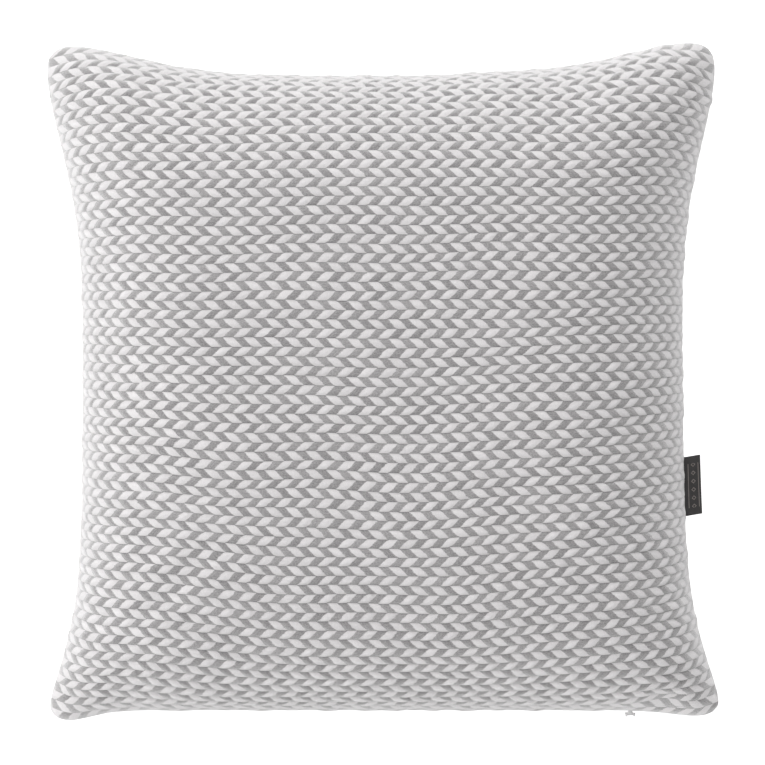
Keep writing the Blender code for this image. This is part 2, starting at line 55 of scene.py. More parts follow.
COIL_LOW, COIL_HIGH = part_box("zip_coil_front")
SLIDER_LOW, SLIDER_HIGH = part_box("zip_slider_body")
TAB_LOW, TAB_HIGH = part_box("zip_pull_tab")
SEAM_Z = (LABEL_LOW.z + LABEL_HIGH.z) / 2
ZIP_CENTRE_X = (TAPE_LOW.x + TAPE_HIGH.x) / 2
SLIDER_X = (SLIDER_LOW.x + SLIDER_HIGH.x) / 2
LABEL_Y = (LABEL_LOW.y + LABEL_HIGH.y) / 2

# --- the pillow's form, as in its pattern ------------------------------------------------------
HALF_SIDE = 0.2364  # centre line to the tip of a corner
BULGE = 0.0690  # seam plane to the crown; the back is pressed flat where the pillow lies on it
CROWN_POWER = 6.0
FLANK_POWER = 0.75
SIDE_PULL = 0.0262
SIDE_PULL_UPPER = (3.5, 2.6)
SIDE_PULL_LOWER = (4.9, 1.7)
TOP_PULL = 0.0217
TOP_PULL_SHAPE = (4.5, 3.2)
BOTTOM_PULL = 0.0050
BOTTOM_PULL_SHAPE = (14.0, 6.8)
CORNER_ROUND = 0.0060
CORNER_POWER = 26.0
UPPER_LOWER_BLEND = 3.0
RIGHT_EASE = 0.0016  # the right side hangs out this far at its middle,
RIGHT_EASE_LOWER = 0.0025  # this much further at its lower end and less at its upper end
TOP_LIFT = 0.0024  # the right half of the top edge hangs out this far,
TOP_LIFT_FROM = (0.08, 0.38)  # and begins to between these shares of the half side
CORNER_DROP = 0.0034  # the lower left corner hangs this far down
CORNER_DROP_FROM = (0.77, 0.96)  # and the drop begins and ends at these shares of the half side
REST_EASE = 0.0006  # how softly the back rounds into the patch that it lies on

# --- seams -------------------------------------------------------------------------------------
KNIT = 0.0018
SEAM_SLIT = 0.00015  # half the gap between two sewn allowances
LIP_SLIT = 0.0008  # half the gap between the lips over the zip
LABEL_SLIT = 0.0008  # half the gap that holds the label's two tails
CHANNEL_SLIT = 0.00315  # half the room round the slider
LIP_DEPTH = 0.0060
CHANNEL_DEPTH = 0.0076
ALLOWANCE = 0.01495
ZIP_OPEN = 0.2095  # the lips are parted this far from the zip's centre
ZIP_SEWN = 0.2139
LABEL_OPEN = 0.0463
LABEL_SEWN = 0.0726
SLIT_REACH = (-1.0, -0.97)  # a slit is open at the edge of the square, and closed from here inwards
TOUCH = 0.0003  # clearance between pieces that touch on the real pillow

# --- knit --------------------------------------------------------------------------------------
ROW_PITCH = 0.00655
REPEAT = 0.01415  # one white and one grey ply, along a row
ROW_STEPS = 6  # grid rows in a row of knit
REPEAT_STEPS = 8  # grid lines in a repeat
ROW_RELIEF = 0.0010
PLY_RELIEF = 0.0007
BASE_DEPTH = 0.0016  # ground of the relief below the pattern's surface
BASE_INSET = 0.0010
BACKING = 0.0006  # cloth behind the ground of the relief
PINCH = 0.0028  # the relief starts over this distance from a seam
FLAT_NEAR_SEAM = 0.0260  # and has its full height from this distance
RELIEF_AT_SEAM = 0.25
ROW_SPREAD = 1.6  # how a row's place goes over from the middle to a seam, as a power
ROW_SPREAD_AT_END = 4.0
STRAIGHT_PLY = 0.6  # share of a ply's slant that is straight; the rest bends as an S
UPRIGHT_NEAR_SEAM = 0.0045  # plies lose their slant over this distance from a side seam
STRAY = (0.0006, 0.09)  # how far the rows and plies stray, and the length of a wave of it
ROWS_STRAY_FROM = 0.03
SWELL = (0.0007, 0.11)  # height and length of the low swells,
SWELL_FROM = (0.004, 0.05)  # which start and are full at these distances from a seam
CREASE = (0.0005, 0.017)  # height and length of the creases along the seams,
CREASE_TO = (0.002, 0.022)  # which are full and end at these distances
UNEVEN_BACK = 0.3  # share of both that is left on the back, which lies flat
DIMPLE_AT = (0.197, -0.222)  # where the cloth dips beside the end of the zip
DIMPLE_REACH = (0.014, 0.007)
DIMPLE_DEPTH = 0.0030
INNER_STEPS = (6, 4)  # grid rows and lines between two of the knit's inner face


# --- numpy helpers -----------------------------------------------------------------------------
def fade(value, full, none):
    """1 up to full and 0 from none on, eased by the cubic 3t^2 - 2t^3 between."""
    share = ((none - value) / (none - full)).clip(0, 1)
    return share * share * (3 - 2 * share)


def cubic_weights(place, count):
    """The four nearest of count even stations on -1..1, and their Catmull-Rom weights."""
    at = (place + 1) / 2 * (count - 1)
    first = np.clip(np.floor(at).astype(int), 0, count - 2)
    t = at - first
    weights = ((2 * t**2 - t - t**3) / 2, (2 - 5 * t**2 + 3 * t**3) / 2,
               (t + 4 * t**2 - 3 * t**3) / 2, (t**3 - t**2) / 2)
    return [np.clip(first + step, 0, count - 1) for step in (-1, 0, 1, 2)], weights


def sampled(table, across, along):
    """Value of a table at any places -1..1 across its columns and along its rows, by cubic weights."""
    columns, column_weights = cubic_weights(across, table.shape[1])
    rows, row_weights = cubic_weights(along, table.shape[0])
    total = 0.0
    for row, row_weight in zip(rows, row_weights):
        for column, column_weight in zip(columns, column_weights):
            weight = row_weight * column_weight
            total = total + table[row, column] * (weight[..., None] if table.ndim == 3 else weight)
    return total


def waves(x, y, height, length, seed):
    """Low swells: six plane waves of about the given length, with fixed directions and phases."""
    draw = np.random.default_rng(seed)
    total = 0.0
    for _ in range(6):
        turn = draw.uniform(0, math.pi)
        phase = draw.uniform(0, 2 * math.pi)
        stretch = draw.uniform(0.7, 1.5)
        along = x * math.cos(turn) + y * math.sin(turn)
        total = total + np.sin(2 * math.pi * along / (length * stretch) + phase)
    return height * total / math.sqrt(6)


def unit(vectors):
    """The vectors divided by their lengths."""
    return vectors / np.maximum(np.linalg.norm(vectors, axis=-1, keepdims=True), 1e-12)


# --- mesh helpers ------------------------------------------------------------------------------
def grid_faces(index):
    """Quads between neighbouring entries of a 2-D array of vertex numbers."""
    return np.stack([index[:-1, :-1], index[:-1, 1:], index[1:, 1:], index[1:, :-1]], -1).reshape(-1, 4)


def rim_of(index):
    """Vertex numbers round a 2-D array, anticlockwise from its first entry."""
    return np.concatenate([index[0, :-1], index[:-1, -1], index[-1, :0:-1], index[:0:-1, 0]])


def ring_faces(inner, outer):
    """Quads between two closed rings of vertex numbers."""
    return np.stack([np.roll(inner, -1), inner, outer, np.roll(outer, -1)], -1)


def built(name, points, faces, uv=None, smooth=True):
    """A mesh object from an array of points and a list of face arrays, each with one number of corners."""
    mesh = bpy.data.meshes.new(name)
    corners = np.concatenate([patch.ravel() for patch in faces]).astype(np.int32)
    counts = np.concatenate([np.full(len(patch), patch.shape[1]) for patch in faces])
    starts = np.concatenate([[0], np.cumsum(counts)[:-1]]).astype(np.int32)
    mesh.vertices.add(len(points))
    mesh.vertices.foreach_set("co", np.asarray(points, np.float32).ravel())
    mesh.loops.add(len(corners))
    mesh.loops.foreach_set("vertex_index", corners)
    mesh.polygons.add(len(counts))
    mesh.polygons.foreach_set("loop_start", starts)
    mesh.update(calc_edges=True)
    if uv is not None:
        weave_map = mesh.uv_layers.new(name="weave")
        weave_map.data.foreach_set("uv", np.asarray(uv, np.float32)[corners].ravel())
    if smooth:
        mesh.shade_smooth()
    obj = bpy.data.objects.new(name, mesh)
    bpy.context.scene.collection.objects.link(obj)
    return obj


# --- the pillow's surface ----------------------------------------------------------------------
def pull(along, depth, start, fading):
    """Depth times (1 - |along|^start)^fading: how far an edge is drawn in between its corners."""
    return depth * np.clip(1 - np.abs(along) ** start, 0, 1) ** fading


def outline(u, v, inset=0.0):
    """Plan of the pillow: the square scaled to its half side, less each edge's pull, which grows as the
    square of the distance from the middle, with the corners rounded by |uv| to a high power. The right
    side, the right half of the top and the lower left corner hang out a little."""
    upper = 0.5 + 0.5 * np.tanh(UPPER_LOWER_BLEND * v)
    reach = HALF_SIDE - inset - CORNER_ROUND * np.abs(u * v) ** CORNER_POWER
    side = upper * pull(v, SIDE_PULL, *SIDE_PULL_UPPER) + (1 - upper) * pull(v, SIDE_PULL, *SIDE_PULL_LOWER)
    side = side - np.where(u > 0, RIGHT_EASE - RIGHT_EASE_LOWER * v, 0)
    end = np.where(v > 0, pull(u, TOP_PULL, *TOP_PULL_SHAPE), pull(u, BOTTOM_PULL, *BOTTOM_PULL_SHAPE))
    drop = CORNER_DROP * (1 - fade(-u, *CORNER_DROP_FROM))
    lift = TOP_LIFT * (1 - fade(u, *TOP_LIFT_FROM))
    end = end - np.where(v < 0, drop, lift)
    return u * reach - np.sign(u) * side * u**2, v * reach - np.sign(v) * end * v**2


def rise(u, v):
    """((1 - |u|^6)(1 - |v|^6))^0.75: 0 along the seams, close to 1 over the broad middle."""
    return ((1 - np.abs(u) ** CROWN_POWER) * (1 - np.abs(v) ** CROWN_POWER)).clip(0) ** FLANK_POWER


def slit(u, v, closed=SEAM_SLIT, zipped=LIP_SLIT):
    """Half the gap between the two allowances: wider over the zip and where the label is held."""
    x, y = outline(u, v)
    at_zip = fade(v, *SLIT_REACH) * fade(np.abs(x - ZIP_CENTRE_X), ZIP_OPEN, ZIP_SEWN)
    at_label = fade(-u, *SLIT_REACH) * fade(np.abs(y - LABEL_Y), LABEL_OPEN, LABEL_SEWN)
    return closed + (zipped - closed) * at_zip + max(LABEL_SLIT - closed, 0) * at_label


# --- the pillow puffed up by its filling -------------------------------------------------------
SIM_CELLS = 60
SIM_CORNER_POWER = 6  # how close to a corner its grid keeps crowding towards the seams
SIM_WIDTH = 0.473  # flat size of a cut panel
SIM_HEIGHT = 0.497
SIM_FRAMES = 30
SIM_PRESSURE = 4.0
SIM_CAP = 0.0050  # a point moves at most about this far
SIM_SEAM_FADE = 0.12  # share of the half side over which the move fades out at a seam


def sim_spread(p):
    """Even steps p of the simulated grid, crowded towards the seams: 0.6p + 0.4 sin(pi p / 2)."""
    return 0.6 * p + 0.4 * np.sin(np.pi / 2 * p)


def puffed():
    """Blows a closed bag of both panels up from the pattern's form with its seam held, and returns how
    far each point of the front's grid moves: cap * d / (cap + |d|) for a move d, faded out at the seams."""
    count = SIM_CELLS + 1
    p = np.linspace(-1, 1, count)
    across, along = np.meshgrid(p, p)
    near_end, near_side = np.abs(along) ** SIM_CORNER_POWER, np.abs(across) ** SIM_CORNER_POWER
    u = sim_spread(across) * (1 - near_end) + across * near_end
    v = sim_spread(along) * (1 - near_side) + along * near_side
    x, y = outline(u, v)
    z = BULGE * rise(u, v)
    front = np.stack([x, y, z], -1)
    flat = np.stack([across * SIM_WIDTH / 2, along * SIM_HEIGHT / 2, 0 * across], -1)
    index = np.arange(count * count).reshape(count, count)
    edge = np.ones((count, count), bool)
    edge[1:-1, 1:-1] = False
    behind = index.copy()
    behind[~edge] = count * count + np.arange((~edge).sum())
    points = np.concatenate([front.reshape(-1, 3), (front * (1, 1, -1))[~edge]])
    bag = built("puffing", points, [grid_faces(index), grid_faces(behind)[:, ::-1]])
    bag.shape_key_add(name="Basis")
    pattern = bag.shape_key_add(name="Flat")
    cut = np.concatenate([flat.reshape(-1, 3), flat[~edge]])
    pattern.data.foreach_set("co", cut.astype(np.float32).ravel())
    pattern.value = 0
    held = bag.vertex_groups.new(name="seam")
    held.add(index[edge].tolist(), 1.0, "REPLACE")
    cloth = bag.modifiers.new("Cloth", "CLOTH")
    settings = cloth.settings
    settings.quality = 8
    settings.mass = 0.3
    settings.air_damping = 3
    settings.tension_stiffness = 15
    settings.compression_stiffness = 3
    settings.shear_stiffness = 4
    settings.bending_stiffness = 1
    settings.tension_damping = 15
    settings.compression_damping = 15
    settings.shear_damping = 10
    settings.bending_damping = 1
    settings.use_pressure = True
    settings.uniform_pressure_force = SIM_PRESSURE
    settings.vertex_group_mass = held.name
    settings.rest_shape_key = pattern
    settings.effector_weights.gravity = 0
    cloth.collision_settings.use_collision = False
    cloth.point_cache.frame_start = 1
    cloth.point_cache.frame_end = SIM_FRAMES
    for step in range(1, SIM_FRAMES + 1):
        bpy.context.scene.frame_set(step)
    settled = bag.evaluated_get(bpy.context.evaluated_depsgraph_get()).to_mesh()
    found = np.empty(len(settled.vertices) * 3, np.float32)
    settled.vertices.foreach_get("co", found)
    moved = found.reshape(-1, 3)[:count * count].reshape(count, count, 3) - front
    mesh = bag.data
    bpy.data.objects.remove(bag)
    bpy.data.meshes.remove(mesh)
    bpy.context.scene.frame_set(1)
    far = np.linalg.norm(moved, axis=-1, keepdims=True)
    moved = moved * SIM_CAP / (SIM_CAP + far)
    near_seam = 1 - np.maximum(np.abs(u), np.abs(v))
    return moved * (1 - fade(near_seam, 0.0, SIM_SEAM_FADE))[..., None]


PUFF = puffed()


def puff(u, v, side):
    """The simulated move at places of the square, mirrored for the back."""
    p = np.linspace(-1, 1, 401)
    across = np.interp(u, sim_spread(p), p)
    along = np.interp(v, sim_spread(p), p)
    return sampled(PUFF, across, along) * (1, 1, side)


def layer(u, v, side, inset, depth, lift=0.0):
    """Points of one layer of cloth: outline in plan, rise times the bulge in height, the slit at the seam,
    and the puff. The back is an eased maximum of that and its resting plane, f + k log(1 + e^((z-f)/k))."""
    x, y = outline(u, v, inset)
    share = rise(u, v)
    height = (BULGE - depth) * share + (slit(u, v) + lift) * (1 - share)
    points = np.stack([x, y, SEAM_Z + side * height], -1) + puff(u, v, side)
    if side < 0:
        points[..., 2] = depth + REST_EASE * np.logaddexp(0, (points[..., 2] - depth) / REST_EASE)
    return points


def bent(t):
    """Sine of a quarter turn: even steps of t crowd towards the seams, where the surface turns fastest."""
    return np.sin(np.pi / 2 * t)


class EvenCloth:
    """Turns shares -1..1 of a cloth's own width and height into places on the square, so that equal steps
    on the cloth are equal steps along the surface: cumulative length is inverted line by line, and the
    middle line and the two seams give the rest."""

    STATIONS = 257

    def __init__(self, side):
        t = np.linspace(-1, 1, self.STATIONS)
        across, along = np.meshgrid(t, t)
        surface = layer(bent(across), bent(along), side, BASE_INSET, BASE_DEPTH)
        self.width, self.across = self.inverted(surface, t)
        self.height, self.along = self.inverted(surface.swapaxes(0, 1), t)

    def inverted(self, lines, t):
        """For each line of points: its length, and t at even shares of that length."""
        run = np.cumsum(np.linalg.norm(np.diff(lines, axis=1), axis=-1), axis=1)
        run = np.concatenate([np.zeros((len(lines), 1)), run], axis=1)
        shares = 2 * run / run[:, -1:] - 1
        return run[len(run) // 2, -1], np.array([np.interp(t, share, t) for share in shares])

    def places(self, c, r):
        """u and v of cloth shares c and r."""
        return bent(self.eased(self.across, c, r)), bent(self.eased(self.along, r, c))

    def eased(self, table, share, beside):
        """The place of a share, from its place on the middle line towards that on the seam beside it, by
        |beside|^(1.6 + 4 share^6): a stretchy cloth spreads the change out, so its rows stay nearly level."""
        first, middle, last = (sampled(table, share, np.full_like(share, line)) for line in (-1, 0, 1))
        weight = np.abs(beside) ** (ROW_SPREAD + ROW_SPREAD_AT_END * share**6)
        return middle + weight * (np.where(beside < 0, first, last) - middle)


# --- cover -------------------------------------------------------------------------------------
def knit_relief(row_steps, line_steps, rows, plies, seed):
    """Height of the knit over its ground at each grid row and line. Each row is a round cord,
    sqrt(1 - (2w)^2) over its width w, of two plies that each rise as 1 - (2q - 1)^2 over their width q.
    Every ply gets its own share of fullness."""
    w = (row_steps % ROW_STEPS) / ROW_STEPS - 0.5
    q = (line_steps % (REPEAT_STEPS // 2)) / (REPEAT_STEPS // 2)
    cord = np.sqrt(1 - (2 * w) ** 2)[:, None]
    ply = (1 - (2 * q - 1) ** 2)[None, :]
    draw = np.random.default_rng(seed).uniform(0.8, 1.15, (rows + 1, plies + 1))
    fullness = draw[row_steps // ROW_STEPS][:, line_steps // (REPEAT_STEPS // 2)]
    return (ROW_RELIEF * cord + PLY_RELIEF * ply * (0.35 + 0.65 * cord)) * fullness


def panel_shell(name, side, places, faces_out_and_in, rings, jumps, weave):
    """One panel as a closed shell: its outer face, the seam allowance turned in, and its inner face.

    places are u and v of the outer grid, rings are (plan inset, half the gap over the zip, lift) of each line
    of the allowance, and the inner face has every jumps-th row and line of the outer grid.
    """
    u, v = places
    outer, inner = faces_out_and_in
    index = np.arange(u.size).reshape(u.shape)
    rim = rim_of(index)
    rim_u, rim_v = u.ravel()[rim], v.ravel()[rim]
    ring_points = []
    for inset, opened, lift in rings:
        x, y = outline(rim_u, rim_v, inset)
        height = slit(rim_u, rim_v, zipped=opened) if opened else np.full(x.shape, SEAM_SLIT)
        ring_points.append(np.stack([x, y, SEAM_Z + side * (height + lift)], -1))
    inner_index = np.arange(inner.size // 3).reshape(inner.shape[:2]) + u.size + len(rings) * len(rim)
    faces = [grid_faces(index)]
    last = rim
    for number in range(len(rings)):
        ring = u.size + number * len(rim) + np.arange(len(rim))
        faces.append(ring_faces(last, ring))
        last = ring
    faces += joined_rims(last, rim_of(inner_index), u.shape, jumps)
    faces.append(grid_faces(inner_index)[:, ::-1])
    if side < 0:
        faces = [patch[:, ::-1] for patch in faces]
    points = np.concatenate([outer.reshape(-1, 3), *ring_points, inner.reshape(-1, 3)])
    rim_weave = [weave.reshape(-1, 2)[rim]] * len(rings)
    inner_weave = weave[::jumps[0], ::jumps[1]].reshape(-1, 2)
    return built(name, points, faces, np.concatenate([weave.reshape(-1, 2), *rim_weave, inner_weave]))


def knitted_panel(name, side, seed):
    """One panel of the cover.

    Grid lines follow the plies: at a place w of -0.5..0.5 across a row they lean by a quarter of a repeat
    times 0.6 * 2w + 0.4 * asin(2w) * 2 / pi, left and right in turn, so a line is a chevron down the whole
    panel and the plies' edges are edges of the mesh. The relief, low swells and creases near the seams lift
    the ground along its normal, and exp(-a^2 - b^2) dips it beside the end of the zip.
    """
    cloth = EvenCloth(side)
    rows = round(cloth.height / ROW_PITCH)
    plies = round(2 * cloth.width / REPEAT)
    row_steps = np.arange(rows * ROW_STEPS + 1)
    line_steps = np.arange(plies * REPEAT_STEPS // 2 + 1)
    row_number = row_steps // ROW_STEPS
    w = (row_steps % ROW_STEPS) / ROW_STEPS - 0.5
    slanted = STRAIGHT_PLY * w / 2 + (1 - STRAIGHT_PLY) * np.arcsin(2 * w) / (2 * math.pi)
    lean = np.where(row_number % 2 == 0, 1, -1) * slanted
    c, r = np.meshgrid(2 * line_steps / line_steps[-1] - 1, 2 * row_steps / row_steps[-1] - 1)
    from_side = (1 - np.abs(c)) * cloth.width / 2
    from_end = (1 - np.abs(r)) * cloth.height / 2
    slant = 1 - fade(from_side, 0.0, UPRIGHT_NEAR_SEAM)
    stray = waves(c * cloth.width / 2, r * cloth.height / 2, *STRAY, seed)
    c = c + (lean[:, None] * REPEAT + 0.5 * stray) * slant * 2 / cloth.width
    r = r + np.roll(stray, 40, axis=1) * (1 - fade(from_end, 0.0, ROWS_STRAY_FROM)) * 2 / cloth.height
    u, v = cloth.places(c, r)

    ground = layer(u, v, side, BASE_INSET, BASE_DEPTH)
    normal = unit(np.cross(np.gradient(ground, axis=1), np.gradient(ground, axis=0))) * side
    from_seam = np.minimum(from_side, from_end)
    pinch = np.sqrt(1 - (1 - (from_seam / PINCH).clip(0, 1)) ** 2)
    fullness = pinch * (1 - (1 - RELIEF_AT_SEAM) * fade(from_seam, 0.0, FLAT_NEAR_SEAM))
    x, y = ground[..., 0], ground[..., 1]
    swell = waves(x, y, *SWELL, seed + 1) * (1 - fade(from_seam, *SWELL_FROM))
    crease = waves(x, y, *CREASE, seed + 2) * fade(from_seam, *CREASE_TO) * pinch
    uneven = normal * (swell + crease)[..., None] * (1 if side > 0 else UNEVEN_BACK)
    aside = [(ground[..., axis] - DIMPLE_AT[axis]) / DIMPLE_REACH[axis] for axis in (0, 1)]
    dimple = np.exp(-aside[0] ** 2 - aside[1] ** 2) * (side > 0)
    relief = knit_relief(row_steps, line_steps, rows, plies, seed) * fullness * (1 - 0.8 * dimple)
    uneven = uneven - normal * (DIMPLE_DEPTH * dimple * pinch)[..., None]
    outer = ground + uneven + normal * relief[..., None]
    outer[..., 2] = outer[..., 2].clip(0)
    coarse = (slice(None, None, INNER_STEPS[0]), slice(None, None, INNER_STEPS[1]))
    inner = layer(u[coarse], v[coarse], side, BASE_INSET + 2 * BACKING, BASE_DEPTH + BACKING, KNIT)
    inner = inner + uneven[coarse]
    folds = [(LIP_DEPTH, LIP_SLIT), (CHANNEL_DEPTH, CHANNEL_SLIT), (ALLOWANCE, CHANNEL_SLIT)]
    rings = [(*fold, 0.0) for fold in folds] + [(*fold, KNIT) for fold in reversed(folds)]
    weave = np.stack(np.meshgrid(line_steps / REPEAT_STEPS, row_steps / ROW_STEPS), -1)
    return panel_shell(name, side, (u, v), (outer, inner), rings, INNER_STEPS, weave)


def joined_rims(fine, coarse, shape, jumps):
    """Faces between a fine ring and the coarse one inside it, each with one coarse edge and its fine ones."""
    rows, lines = (shape[0] - 1) // jumps[0], (shape[1] - 1) // jumps[1]
    faces = []
    start = 0
    fine_start = 0
    for count, jump in ((lines, jumps[1]), (rows, jumps[0]), (lines, jumps[1]), (rows, jumps[0])):
        steps = fine_start + np.arange(count)[:, None] * jump + np.arange(jump, -1, -1)
        ends = start + np.arange(count)[:, None] + np.arange(2)
        faces.append(np.concatenate([fine[steps % len(fine)], coarse[ends % len(coarse)]], axis=1))
        start += count
        fine_start += count * jump
    return faces


# --- materials ---------------------------------------------------------------------------------
class Nodes:
    """Short calls for the nodes of one material or group."""

    def __init__(self, tree):
        self.tree = tree

    def add(self, kind, *sources, **settings):
        """A node whose first inputs take the sources, each a socket or a number."""
        node = self.tree.nodes.new(kind)
        for key, value in settings.items():
            setattr(node, key, value)
        for place, source in enumerate(sources):
            self.feed(node.inputs[place], source)
        return node

    def feed(self, socket, source):
        """Links a socket to another, or sets it to a number."""
        if isinstance(source, bpy.types.NodeSocket):
            self.tree.links.new(source, socket)
        elif source is not None:
            socket.default_value = source

    def math(self, operation, *sources):
        """The result of one sum."""
        return self.add("ShaderNodeMath", *sources, operation=operation).outputs[0]

    def weighed(self, *parts):
        """The sum of some values, each times its share."""
        terms = [self.math("MULTIPLY", value, share) for value, share in parts]
        total = terms[0]
        for term in terms[1:]:
            total = self.math("ADD", total, term)
        return total

    def smooth(self, value, low, high, to_low=0.0, to_high=1.0):
        """Eased step from to_low at low to to_high at high."""
        return self.add("ShaderNodeMapRange", value, low, high, to_low, to_high,
                        interpolation_type="SMOOTHSTEP").outputs[0]

    def mix(self, share, first, second):
        """Blend of two colours."""
        node = self.add("ShaderNodeMix", data_type="RGBA")
        self.feed(node.inputs["Factor"], share)
        self.feed(node.inputs[6], first)
        self.feed(node.inputs[7], second)
        return node.outputs[2]

    def noise(self, vector, scale, detail=2.0, roughness=0.5):
        """Noise of 0..1 round its middle, with that many cells in a unit of the vector."""
        node = self.add("ShaderNodeTexNoise")
        given = {"Vector": vector, "Scale": scale, "Detail": detail, "Roughness": roughness}
        for name, source in given.items():
            self.feed(node.inputs[name], source)
        return node.outputs["Fac"]

    def stretched(self, vector, scale):
        """The vector times the scale, part by part."""
        node = self.add("ShaderNodeVectorMath", vector, operation="MULTIPLY")
        self.feed(node.inputs[1], scale)
        return node.outputs[0]

    def wave(self, value, sharpness=1.0):
        """|sin(pi value)|^sharpness: one rounded ridge for each whole step of the value."""
        ridge = self.math("ABSOLUTE", self.math("SINE", self.math("MULTIPLY", value, math.pi)))
        return self.math("POWER", ridge, sharpness)

    def object_place(self):
        """The place on the piece, in metres."""
        return self.add("ShaderNodeTexCoord").outputs["Object"]

    def weave_place(self):
        """The place on the piece's own map, which follows its cloth."""
        return self.add("ShaderNodeUVMap", uv_map="weave").outputs[0]


def new_group(name, inputs, outputs):
    """An empty node group with the named sockets: (tree helper, its input node, its output node)."""
    tree = bpy.data.node_groups.new(name, "ShaderNodeTree")
    for label, value in inputs:
        kind = "NodeSocketVector" if value is None else "NodeSocketFloat"
        socket = tree.interface.new_socket(label, in_out="INPUT", socket_type=kind)
        if value is not None:
            socket.default_value = value
    for label in outputs:
        tree.interface.new_socket(label, in_out="OUTPUT", socket_type="NodeSocketFloat")
    nodes = Nodes(tree)
    return nodes, nodes.add("NodeGroupInput"), nodes.add("NodeGroupOutput")


def placed(nodes, tree, **inputs):
    """The group in a material, with its inputs given by name."""
    node = nodes.add("ShaderNodeGroup", node_tree=tree)
    for name, source in inputs.items():
        nodes.feed(node.inputs[name.replace("_", " ")], source)
    return node


def fibre_group():
    """Fine fibres that lie along the second coordinate. Streak is their mask, Cloud a soft blotch as of
    heathered yarn, and Height lifts both."""
    inputs = [("Vector", None), ("Across", 40.0), ("Along", 4.0), ("Cloud", 2.0)]
    nodes, given, result = new_group("Spun fibres", inputs, ["Streak", "Cloud", "Height"])
    scale = nodes.add("ShaderNodeCombineXYZ", given.outputs["Across"], given.outputs["Along"],
                      given.outputs["Across"]).outputs[0]
    fine = nodes.noise(nodes.stretched(given.outputs["Vector"], scale), 1.0, 3.0, 0.6)
    cloud = nodes.smooth(nodes.noise(given.outputs["Vector"], given.outputs["Cloud"], 2.0, 0.55), 0.3, 0.7)
    streak = nodes.smooth(fine, 0.3, 0.7)
    height = nodes.math("ADD", nodes.math("MULTIPLY", streak, 0.7), nodes.math("MULTIPLY", cloud, 0.3))
    nodes.feed(result.inputs["Streak"], streak)
    nodes.feed(result.inputs["Cloud"], cloud)
    nodes.feed(result.inputs["Height"], height)
    return nodes.tree


def weave_group():
    """Plain weave of round threads, Warp and Weft of them in a metre along the two coordinates. Over is 1
    where a warp thread passes over, Height is the thread on top and Shade darkens the gaps."""
    inputs = [("Vector", None), ("Warp", 2000.0), ("Weft", 1500.0)]
    nodes, given, result = new_group("Plain weave", inputs, ["Over", "Height", "Shade"])
    parts = nodes.add("ShaderNodeSeparateXYZ", given.outputs["Vector"])
    warp = nodes.math("MULTIPLY", parts.outputs[0], given.outputs["Warp"])
    weft = nodes.math("MULTIPLY", parts.outputs[1], given.outputs["Weft"])
    count = nodes.math("ADD", nodes.math("FLOOR", warp), nodes.math("FLOOR", weft))
    over = nodes.math("PINGPONG", count, 1.0)
    on_warp = nodes.math("MULTIPLY", nodes.wave(warp, 0.6), over)
    on_weft = nodes.math("MULTIPLY", nodes.wave(weft, 0.6), nodes.math("SUBTRACT", 1.0, over))
    height = nodes.math("ADD", on_warp, on_weft)
    nodes.feed(result.inputs["Over"], over)
    nodes.feed(result.inputs["Height"], height)
    nodes.feed(result.inputs["Shade"], nodes.smooth(height, 0.1, 0.8, 0.6, 1.0))
    return nodes.tree


def metal_group():
    """Patchy wear on metal: Worn is 1 in rubbed patches, the more of them the higher the Amount, Roughness
    falls there, and Height is a fine grain that they smooth away."""
    inputs = [("Vector", None), ("Scale", 250.0), ("Amount", 0.4)]
    nodes, given, result = new_group("Rubbed metal", inputs, ["Worn", "Roughness", "Height"])
    patches = nodes.noise(given.outputs["Vector"], given.outputs["Scale"], 4.0, 0.6)
    low = nodes.math("SUBTRACT", 0.9, nodes.math("MULTIPLY", given.outputs["Amount"], 0.7))
    worn = nodes.smooth(patches, low, nodes.math("ADD", low, 0.12))
    grain = nodes.noise(nodes.stretched(given.outputs["Vector"], (2500.0, 2500.0, 2500.0)), 1.0, 3.0)
    nodes.feed(result.inputs["Worn"], worn)
    nodes.feed(result.inputs["Roughness"], nodes.smooth(worn, 0.0, 1.0, 0.40, 0.22))
    nodes.feed(result.inputs["Height"], nodes.math("MULTIPLY", grain, nodes.smooth(worn, 0.0, 1.0, 1.0, 0.3)))
    return nodes.tree


SPUN_FIBRES = fibre_group()
RUBBED_METAL = metal_group()
PLAIN_WEAVE = weave_group()


def new_finish(name, roughness, **fixed):
    """A new material: its node helper, its shader and itself. fixed are constants on the shader's sockets."""
    made = bpy.data.materials.new(name)
    made.use_nodes = True
    shader = made.node_tree.nodes["Principled BSDF"]
    shader.inputs["Roughness"].default_value = roughness
    for label, value in fixed.items():
        shader.inputs[label.replace("_", " ")].default_value = value
    return Nodes(made.node_tree), shader, made


def bumped(nodes, shader, height, distance, strength=1.0):
    """Lifts the surface's shading by a height of 0..1 times the distance."""
    bump = nodes.add("ShaderNodeBump")
    nodes.feed(bump.inputs["Strength"], strength)
    nodes.feed(bump.inputs["Distance"], distance)
    nodes.feed(bump.inputs["Height"], height)
    nodes.feed(shader.inputs["Normal"], bump.outputs["Normal"])


def grey(level, warmth=0.0):
    """A grey of that level, with red a little above it and green a little below."""
    return (level * (1 + warmth), level * (1 - 0.7 * warmth), level * (1 - 0.2 * warmth), 1)


